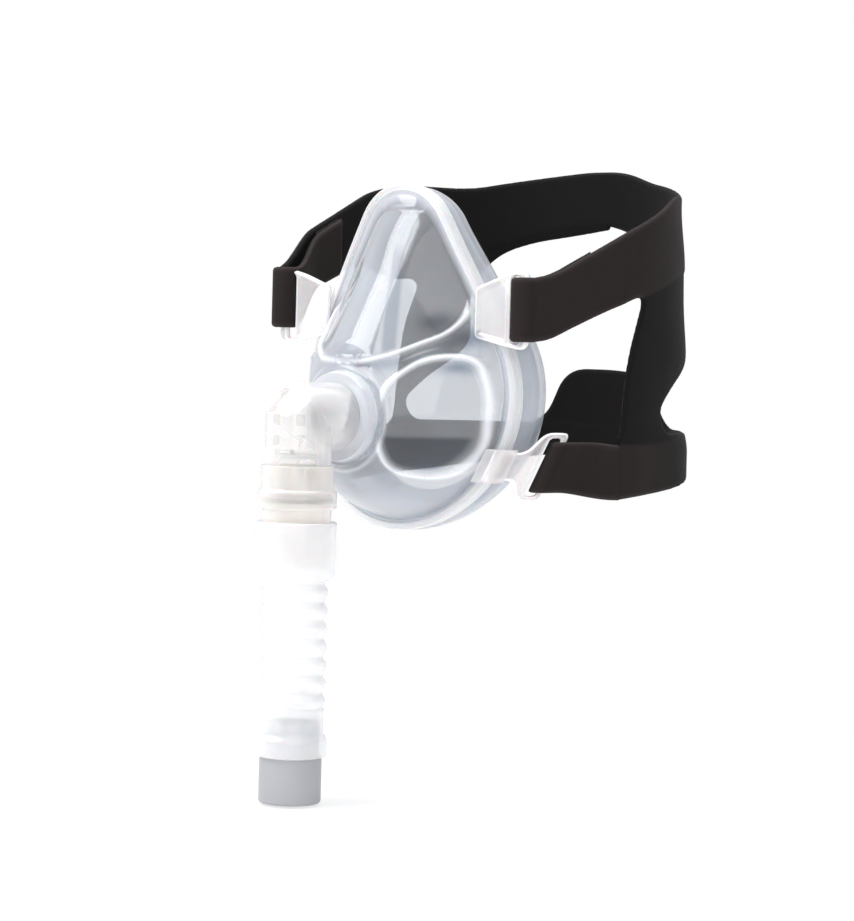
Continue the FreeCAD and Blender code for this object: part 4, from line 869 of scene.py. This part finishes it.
print("elbow")
finish(buildElbow(), "elbow", "elbow", ["elbow_body"])
snapRing = roundCorners([(11.58, -51.7), (14.5, -51.7), (14.5, -50.4), (13.7, -49.5), (11.58, -49.5)], 0.3, 3)
finish(lathe("snapRing", snapRing, (0, 0, 0), "Y"), "ring", "elbow", ["elbow_ring"])
caps = buildCaps()
finish(caps[0], "caps", "caps", ["port_caps"])
for extra in caps[1:]:
    finish(extra, "caps", "caps", [])
for node, look in (("valve_seat", "valve"), ("valve_flap", "caps")):
    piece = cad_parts[node]
    piece.data.materials.clear()
    piece.data.materials.append(finishes[look])


tubeSizes = {
    "centre": (0.0, -80.0, 0.0), "cuffTop": -36.5, "cuffRadius": 14.2, "cuffEnd": -54.5, "crest": 11.7,
    "valley": 10.25, "firstCrest": -61.0, "pitch": 6.4, "crests": 7, "endRadius": 11.3, "bulge": 12.6,
    "bulgeTop": -111.5, "end": -118.8, "wall": 1.0, "bottom": -135.0, "connector": 11.0,
}


def buildSwivel():
    # a sleeve round the leg with a flange that holds the seal, and a long spigot inside the tube
    corners = [(11.78, -17.0), (12.78, -17.0), (12.78, -25.2), (13.9, -25.8), (13.9, -31.5), (13.4, -32.0),
               (12.2, -32.2), (12.2, -51.0), (11.7, -52.0), (9.8, -52.0), (9.8, -31.4), (11.78, -31.4),
               (11.78, -30.0), (12.88, -30.0), (12.88, -28.0), (11.78, -28.0)]
    return lathe("swivelSleeve", roundCorners(corners, (0.3, 0.35, 0.5, 0.6, 0.6, 0.4) + (0.3,) * 10, 3),
                 tubeSizes["centre"])


def buildTube():
    # outside: a cuff, a wave of crests, a plain end and a ring bulge; inside: the same wave one wall in
    z = tubeSizes
    last = z["firstCrest"] - (z["crests"] - 0.5) * z["pitch"]
    first = z["firstCrest"] + 0.5 * z["pitch"]
    waveZ = np.linspace(first, last, 16 * z["crests"] + 1)
    share = 0.5 - 0.5 * np.cos((waveZ - first) / z["pitch"] * tau)
    wave = z["valley"] + (z["crest"] - z["valley"]) * share ** 0.8
    # the last valley widens to the plain end
    plain = z["valley"] + (z["endRadius"] - z["valley"]) * ease(-waveZ, -last - 2.5, -last)
    wave = np.where(waveZ < last + 2.5, np.maximum(wave, plain), wave)
    top = roundCorners([(12.35, z["cuffTop"]), (z["cuffRadius"], z["cuffTop"]), (z["cuffRadius"], z["cuffEnd"]),
                        (z["cuffRadius"] - 2.2, z["cuffEnd"] - 2.4), (z["valley"] + 0.2, first + 0.4)],
                       (0.5, 0.9, 1.4, 1.2, 0.1), 5, False)
    outside = np.vstack([top, np.column_stack([wave, waveZ])])
    tail = roundCorners([(z["endRadius"], last - 0.6), (z["endRadius"], z["bulgeTop"] + 0.8),
                         (z["bulge"], z["bulgeTop"] - 1.0), (z["bulge"], z["end"] + 0.6),
                         (z["bulge"] - 0.9, z["end"]), (10.12, z["end"])], (0.1, 0.8, 1.2, 0.8, 0.5, 0.1), 4, False)
    innerWave = np.column_stack([np.minimum(wave - z["wall"] - 0.05, 10.5), waveZ])[::-1]
    inside = np.vstack([[(10.12, -106.0), (9.3, -105.2)], innerWave[6:-3],
                        [(9.4, -55.8), (12.3, -52.4), (12.3, -36.9)]])
    return lathe("tubeWall", np.vstack([outside, tail, inside]), z["centre"], columns=112, sharp=60)


def buildConnector():
    # a turned tube: a spigot inside the ring bulge, a step, and the plain grey end
    z = tubeSizes
    wide, bottom = z["connector"], z["bottom"]
    corners = [(8.8, -106.8), (10.0, -106.8), (10.0, -118.9), (wide - 0.05, -118.9), (wide - 0.02, bottom + 0.7),
               (wide - 0.5, bottom), (9.2, bottom), (8.8, bottom + 0.4)]
    return lathe("connectorWall", roundCorners(corners, (0.2, 0.3, 0.1, 0.4, 0.5, 0.4, 0.3, 0.3), 3), z["centre"])


print("tube")
finish(buildSwivel(), "swivel", "tube", ["swivel_collar"])
sealProfile = roundCorners([(11.73, -28.15), (12.75, -28.15), (12.75, -29.85), (11.73, -29.85)], 0.4, 4)
finish(lathe("swivelSealRing", sealProfile, tubeSizes["centre"]), "seal", "tube", ["swivel_seal"])
finish(buildTube(), "tube", "tube", ["flex_tube"])
finish(buildConnector(), "connector", "tube", ["tube_connector"])


headSizes = {
    "radius": 66.5, "centre": 32.0, "thickness": 2.8, "loopX": 57.0, "loopY": -27.0, "fold": 3.9, "edge": 1.3,
    "panelStart": 46.0, "middle": 39.0, "lowerMiddle": -18.0,
    "lift": 12.5,              # how far the right band rides up between its loop and the back
    "sag": 3.5,                # how far the left band drops before the back
    "bulge": 3.2,              # how far the lower band stands off at the left
    "letOut": 26.0,            # how much further the right straps are let out
    "upperTop": ((0, 11.5), (10, 13.5), (27, 20.5), (57, 33.5), (85, 44.5), (110, 50.5), (145, 56.0),
                 (158, 57), (175, 57)),
    "upperBottom": ((0, -11), (8, -9.8), (20, -5.5), (37, 0.5), (60, 7.5), (95, 19), (130, 31), (158, 35.5),
                    (175, 35.5)),
    "lowerEdge": ((46, -28.0), (90, -23.5), (130, -18.0), (163, -14.0)),
}


def headNormal():
    # the angle at which the straight run from the loop's bar touches the head's circle
    z = headSizes
    dx, dy = z["loopX"], z["loopY"] - z["centre"]
    return math.atan2(dy, dx) + math.acos((z["radius"] - z["fold"]) / math.hypot(dx, dy))


def planCurve(s):
    # plan of the upper band on the left: straight from the loop to the head circle, then round the back;
    # below zero it folds round the loop's bar and runs back inside the band
    z = headSizes
    s = np.asarray(s, float)
    a = headNormal()
    out = np.array([math.cos(a), math.sin(a)])
    along = np.array([-math.sin(a), math.cos(a)])
    bar = np.array([z["loopX"], z["loopY"]])
    first = bar + out * z["fold"]
    touch = np.array([0, z["centre"]]) + out * z["radius"]
    straight = np.linalg.norm(touch - first)
    turn = a + np.clip(s - straight, 0, None) / z["radius"]
    onStraight = first + np.clip(s, 0, straight)[..., None] * along
    onRound = np.array([0, z["centre"]]) + z["radius"] * np.stack([np.cos(turn), np.sin(turn)], -1)
    point = np.where((s < straight)[..., None], onStraight, onRound)
    # the fold: half a turn round the bar, then the returned end closing up to the band
    half = math.pi * z["fold"]
    swing = np.clip(-s / z["fold"], 0, math.pi)
    angle = a - swing
    onFold = bar + z["fold"] * np.stack([np.cos(angle), np.sin(angle)], -1)
    past = np.clip(-s - half, 0, None)
    close = 2 * z["fold"] + (4.3 - 2 * z["fold"]) * ease(past, 0, 18)
    onReturn = first - out * close[..., None] + past[..., None] * along
    point = np.where((s < 0)[..., None], np.where((s > -half)[..., None], onFold, onReturn), point)
    turn = np.where(s < 0, angle, turn)
    return point, np.stack([np.cos(turn), np.sin(turn)], -1), straight


def bandHeights(s):
    # lower and upper edge of the upper band at each place along it
    z = headSizes
    top = smoothTable(np.ravel(s), z["upperTop"])[:, 0].reshape(np.shape(s))
    bottom = smoothTable(np.ravel(s), z["upperBottom"])[:, 0].reshape(np.shape(s))
    return z["middle"] + bottom, z["middle"] + top


def sheetPlace(side, back=None, inset=0.0):
    # puts (s, t) of the flat cloth on its plan curve, then drapes it: slow waves across the cloth, the
    # right band riding up, the left one sagging, and the lower band standing off at the left
    z = headSizes

    def place(s, t):
        mirror = np.zeros(np.shape(s), bool)
        if back is not None:
            mirror = s > back
            s = np.where(mirror, 2 * back - s, s)
        point, normal, _ = planCurve(s)
        flip = side * np.where(mirror, -1.0, 1.0)
        along = np.where(s < 0, np.clip(-s - math.pi * z["fold"], 0, None), s)
        wave = 0.4 * np.sin(s / 17.0 + t / 23.0) * np.sin(t / 31.0 + 0.8) * ease(s, 30, 60)
        stand = z["bulge"] * (1 - ease(t, -12, 6)) + 1.8 * np.exp(-((t - 24) / 16) ** 2) - 1.8 * ease(t, 60, 85)
        stand = stand * ease(s, 60, 95) * (1 - ease(s, 125, 160)) * (flip > 0)
        off = wave + stand - inset
        upper = ease(t, 8, 30)
        right = z["lift"] * (0.25 + 0.75 * ease(along, 0, 20)) * (1 - ease(along, 52, 112)) * (flip < 0)
        left = z["sag"] * ease(along, 78, 105) * (1 - ease(along, 135, 165)) * (flip > 0)
        x, y = point[..., 0] + normal[..., 0] * off, point[..., 1] + normal[..., 1] * off
        middle = np.stack([flip * x, y, t + (right - left) * upper + 0 * x], -1)
        return middle, np.stack([flip * normal[..., 0], normal[..., 1], 0 * x], -1)
    return place


def buildUpperStrap(side):
    # the band from the side piece to its loop, folded round the bar and back inside
    z = headSizes
    end = -math.pi * z["fold"] - 33.0

    def soft(s, t):
        past = -s - math.pi * z["fold"]
        along = np.where(past > 0, past, np.clip(s, 0, None))
        low, high = bandHeights(along)
        tuck = 1.2 * ease(past, 0, 10)
        return np.minimum(np.minimum(high - tuck - t, t - low - tuck) * 0.97, s - end)

    def distance(s, t):
        return np.minimum(soft(s, t), z["panelStart"] + 0.15 - s)

    name = f"upperStrap{'Left' if side > 0 else 'Right'}"
    return cutSheet(name, sheetPlace(side), distance, (end - 1, z["panelStart"] + 1, 26, 67), 0.8, z["thickness"],
                    z["edge"], soft=soft)


def sOfAngle(angle):
    # length along the band at an angle round the head's circle, from the straight run's end
    return planCurve(np.array(0.0))[2] + (angle - headNormal()) * headSizes["radius"]


def sOfX(x):
    return sOfAngle(math.acos(x / headSizes["radius"]))


def sOfTurn(degrees):
    return sOfAngle(math.radians(degrees))


def sOfY(y):
    return sOfAngle(math.asin((y - headSizes["centre"]) / headSizes["radius"]))


def buildBackPanel():
    # one cloth round the back of the head: band edges above and below, less the ear gaps and the
    # windows
    z = headSizes
    back = sOfX(0.0)
    # front of the side piece, from the lower band up to the upper one
    start = float(bandHeights(np.array(z["panelStart"]))[0])
    ear = roundCorners([(z["panelStart"] - 14, -8.0), (sOfY(19.2), -8.0), (sOfY(21.7), 20.0),
                        (sOfY(31.2), start + 4.5), (z["panelStart"] - 14, start - 5.0)], (1, 7, 12, 7, 1), 8)
    window = roundCorners([(sOfX(0.01), 74.5), (sOfX(38), 68), (sOfTurn(43), 63), (sOfTurn(33), 50),
                           (sOfTurn(34), 27), (sOfTurn(27), 19), (sOfTurn(16), 11), (sOfTurn(9), 4),
                           (sOfTurn(13), -4), (sOfTurn(60), -4), (sOfX(25), 18), (sOfX(0.01), 18),
                           (back + 12, 18), (back + 12, 74.5)], (1, 9, 9, 9, 8, 7, 7, 6, 6, 9, 9, 1, 0, 0), 8)

    def soft(s, t):
        # the right straps are let out further, so the right side piece sits further back
        right = s > back
        s = np.where(right, 2 * back - s, s)
        high = bandHeights(s)[1]
        bottom = smoothTable(np.ravel(s), z["lowerEdge"])[:, 0].reshape(np.shape(s))
        band = np.minimum(high - t, t - bottom) * 0.97
        earS = s - z["letOut"] * ease(s, 46, 74) * right
        windowS = s - 0.3 * z["letOut"] * right
        return np.minimum(band, np.minimum(outlineDistance(earS, t, ear), outlineDistance(windowS, t, window)))

    def distance(s, t):
        fromEnd = np.minimum(s, 2 * back - s) - z["panelStart"]
        return np.minimum(soft(s, t), fromEnd)

    # the upper and lower bands lie over the side piece
    def layer(s, t):
        s = np.where(s > back, 2 * back - s, s)
        low, _ = bandHeights(s)
        lowerTop = np.interp(s, (z["panelStart"], 70, 95), (-8.0, -7.5, -4.5))
        bare = ease(t, lowerTop - 0.4, lowerTop + 0.4) * (1 - ease(t, low - 0.4, low + 0.4))
        return 1 - bare

    # painted shade: the lower band is darkened from the side towards the back
    def shade(s, t):
        return 0.8 * ease(s, 62, 84) * (1 - ease(s, 150, 170)) * (1 - ease(t, -8, -4))

    return cutSheet("backPanel", sheetPlace(1, back), distance,
                    (z["panelStart"] - 1, 2 * back - z["panelStart"] + 1, -30, 98), 0.9, z["thickness"], z["edge"],
                    soft=soft, layer=layer, shade=shade)


def lowerLine():
    # the straight run of the lower strap from round the clip's bar to the panel, on the left
    z = headSizes
    foot, ahead, up, _ = clipAxes(1)
    bar = foot + ahead * (clipSizes["length"] - clipSizes["bar"] / 2)
    fold = 1.2 * (clipSizes["thickness"] / 2 + 0.6) + 1.0
    end, normal, _ = planCurve(np.array(z["panelStart"] - 0.1))
    away = end - bar[:2]
    far = np.linalg.norm(away)
    turn = math.atan2(away[1], away[0]) - math.acos(fold / far)
    return bar, up, fold, turn, math.sqrt(far**2 - fold**2), normal


def lowerPlace(side):
    # (s, t) on the lower band: a straight run with a slight bow, half a turn round the clip's
    # bar, and the returned end; its cross direction turns from the clip's to upright
    bar, up, fold, turn, run, endNormal = lowerLine()
    across = np.array([math.cos(turn), math.sin(turn), 0])
    along = np.array([-math.sin(turn), math.cos(turn), 0])
    half = math.pi * fold

    def place(s, t):
        s, t = np.asarray(s, float), np.asarray(t, float)
        past = np.clip(-s - half, 0, None)
        swing = np.clip(-s / fold, 0, math.pi)
        radial = np.cos(swing)[:, None] * across - np.sin(swing)[:, None] * along
        close = 2 * fold + (2.8 - 2 * fold) * ease(past, 0, 14)
        share = ease(s, 6, run)
        bow = 0.8 * np.sin(np.pi * np.clip((s - 6) / (run - 6), 0, 1))
        straight = bar + across * (fold + bow)[:, None] + np.clip(s, 0, None)[:, None] * along
        straight[:, 2] += (headSizes["lowerMiddle"] - bar[2]) * share
        folded = bar + radial * fold
        returned = bar + across * (fold - close)[:, None] + past[:, None] * along
        middle = np.where((s > 0)[:, None], straight, np.where((s > -half)[:, None], folded, returned))
        lean = up * (1 - share)[:, None] + np.array([0, 0, 1.0]) * share[:, None]
        lean /= np.linalg.norm(lean, axis=1, keepdims=True)
        middle = middle + lean * t[:, None]
        normal = np.where((s > 0)[:, None], across, radial)
        ends = np.array([endNormal[0], endNormal[1], 0])
        normal = normal * (1 - share)[:, None] + ends * share[:, None]
        flip = np.array([side, 1, 1])
        return middle * flip, normal * flip

    return place, half, run


def buildLowerStrap(side):
    # the folded end through the clip, and the band behind it up to the side piece
    place, half, run = lowerPlace(side)

    def edges(s, t):
        return 10.0 - np.abs(t)

    def tabSoft(s, t):
        return np.minimum(edges(s, t) - 0.8 * ease(-s - half, 0, 6), s + half + 20.0)

    def strap(s, t):
        return np.minimum(edges(s, t), np.minimum(s - 5.9, run + 0.7 - s))

    def tab(s, t):
        return np.minimum(tabSoft(s, t), 6.0 - s)

    def thick(s, t):
        return 2.1 + 0.7 * ease(s, 6, run)

    word = "Left" if side > 0 else "Right"
    front = cutSheet(f"lowerTab{word}", place, tab, (-half - 21, 7, -11, 11), 0.7, 2.1, 1.0, soft=tabSoft)
    rest = cutSheet(f"lowerStrap{word}", place, strap, (5, run + 1, -11, 11), 0.7, thick, 1.0, soft=edges)
    return front, rest


def buildUpperTab(side):
    # the hook tab between the band and its returned end
    z = headSizes

    def distance(s, t):
        low, high = bandHeights(s)
        return np.minimum(np.minimum(high - 1.5 - t, t - low - 1.5), np.minimum(s - 20, 34 - s))

    inset = z["thickness"] / 2 + 0.6 + 0.15
    return cutSheet(f"upperTab{'Left' if side > 0 else 'Right'}", sheetPlace(side, inset=inset), distance,
                    (19, 35, 30, 62), 0.8, 1.1, 0.5)


print("headgear")
panel = finish(buildBackPanel(), "cloth", "mask", ["back_panel"])
for side, word in ((1, "left"), (-1, "right")):
    strap = finish(buildUpperStrap(side), "cloth", "mask", [f"upper_strap_{word}"])
    finish(buildUpperTab(side), "hook", "mask", [f"upper_tab_{word}"])
    front, rest = buildLowerStrap(side)
    finish(front, "cloth", f"clip_{word}", [f"lower_tab_{word}"])
    finish(rest, "cloth", None, [])
    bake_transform(rest)
    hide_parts(f"lower_strap_{word}")


stageSizes = {
    "floor": -0.1358, "size": 3.0, "floorWhite": 0.72, "azimuth": 40.0, "elevation": 2.5, "roll": 1.6,
    "lens": 109.45, "sensor": 36.0, "distance": 1.017,
    "picture": (854, 921),     # the photograph's size, and the place in it of the point the camera turns on
    "aim": (402, 416),
    "lamps": {"key": ((-0.5, -0.9, 0.9), 0.95, 15.0), "fill": ((0.75, -0.75, 0.45), 1.1, 4.0),
              "top": ((0.0, 0.1, 1.1), 0.8, 8.0)},
}


def buildStage():
    # a pale floor that fades to the white of the background away from the part
    z = stageSizes
    half = z["size"]
    mesh = bpy.data.meshes.new("floor")
    corners = ((-half, -half), (half, -half), (half, half), (-half, half))
    mesh.from_pydata([(*corner, z["floor"]) for corner in corners], [], [(0, 1, 2, 3)])
    floor = bpy.data.objects.new("floor", mesh)
    bpy.context.scene.collection.objects.link(floor)
    material, tree, output = newMaterial("paleFloor")
    ground = addNode(tree, "BsdfDiffuse", {"Color": (0.93, 0.93, 0.93, 1)})
    white = addNode(tree, "Emission", {"Color": (1, 1, 1, 1), "Strength": 1.0})
    path = addNode(tree, "LightPath")
    seen = addNode(tree, "Math", {0: path.outputs["Is Camera Ray"], 1: path.outputs["Is Glossy Ray"]},
                   operation="MAXIMUM")
    through = addNode(tree, "Math", {0: seen.outputs[0], 1: path.outputs["Is Transmission Ray"]},
                      operation="MAXIMUM")
    place = addNode(tree, "TexCoord")
    away = addNode(tree, "VectorMath", {0: place.outputs["Object"], 1: (0.0, -0.08, z["floor"])},
                   operation="DISTANCE")
    plain = addNode(tree, "MapRange", {"Value": away.outputs["Value"], "From Min": 0.05, "From Max": 0.4,
                                       "To Min": z["floorWhite"], "To Max": 1.0})
    amount = addNode(tree, "Math", {0: through.outputs[0], 1: plain.outputs[0]}, operation="MULTIPLY")
    mixed = addNode(tree, "MixShader", {0: amount.outputs[0], 1: ground.outputs[0], 2: white.outputs[0]})
    tree.links.new(mixed.outputs[0], output.inputs["Surface"])
    mesh.materials.append(material)


def buildLights():
    # an even world, white where the camera sees it, and three large lamps aimed at the part
    world = bpy.data.worlds.new("studio")
    bpy.context.scene.world = world
    world.use_nodes = True
    tree = world.node_tree
    tree.nodes.clear()
    output = tree.nodes.new("ShaderNodeOutputWorld")
    path = addNode(tree, "LightPath")
    dim = addNode(tree, "Background", {"Color": (0.93, 0.95, 1.0, 1), "Strength": 0.72})
    white = addNode(tree, "Background", {"Color": (1, 1, 1, 1), "Strength": 1.0})
    seen = addNode(tree, "Math", {0: path.outputs["Is Camera Ray"], 1: path.outputs["Is Transmission Ray"]},
                   operation="MAXIMUM")
    mixed = addNode(tree, "MixShader", {0: seen.outputs[0], 1: dim.outputs[0], 2: white.outputs[0]})
    tree.links.new(mixed.outputs[0], output.inputs["Surface"])
    for name, (place, size, power) in stageSizes["lamps"].items():
        lamp = bpy.data.lights.new(name, "AREA")
        lamp.size = size
        lamp.energy = power
        light = bpy.data.objects.new(name, lamp)
        aim = -np.array(place) / np.linalg.norm(place)
        up = np.array([0, 0, 1.0])
        right = np.cross(aim, up)
        right /= np.linalg.norm(right)
        turned = np.stack([right, np.cross(right, aim), -aim], 1)
        light.matrix_world = Matrix([[*row, p] for row, p in zip(turned, place)] + [[0, 0, 0, 1]])
        bpy.context.scene.collection.objects.link(light)


def buildCamera():
    # stands to the wearer's left of the front, looking slightly down, rolled as the photograph is
    z = stageSizes
    a, e, roll = (math.radians(z[key]) for key in ("azimuth", "elevation", "roll"))
    right = np.array([math.cos(a), math.sin(a), 0])
    ahead = np.array([-math.sin(a) * math.cos(e), math.cos(a) * math.cos(e), -math.sin(e)])
    up = np.cross(right, ahead)
    r = math.cos(roll) * right + math.sin(roll) * up
    u = -math.sin(roll) * right + math.cos(roll) * up
    wide, tall = z["picture"]
    focal = z["lens"] / z["sensor"] * tall
    offX = (z["aim"][0] - wide / 2) * z["distance"] / focal
    offY = -(z["aim"][1] - tall / 2) * z["distance"] / focal
    spot = np.array([0, -0.025, 0]) - offX * r - offY * u - z["distance"] * ahead
    camera = bpy.data.cameras.new("camera")
    camera.lens = z["lens"]
    camera.sensor_width = z["sensor"]
    camera.clip_start = 0.01
    view = bpy.data.objects.new("camera", camera)
    view.matrix_world = Matrix([[*row, p] for row, p in zip(np.stack([r, u, -ahead], 1), spot)] + [[0, 0, 0, 1]])
    bpy.context.scene.collection.objects.link(view)
    bpy.context.scene.camera = view


print("stage")
buildStage()
buildLights()
buildCamera()
bpy.context.scene.view_settings.view_transform = "Standard"
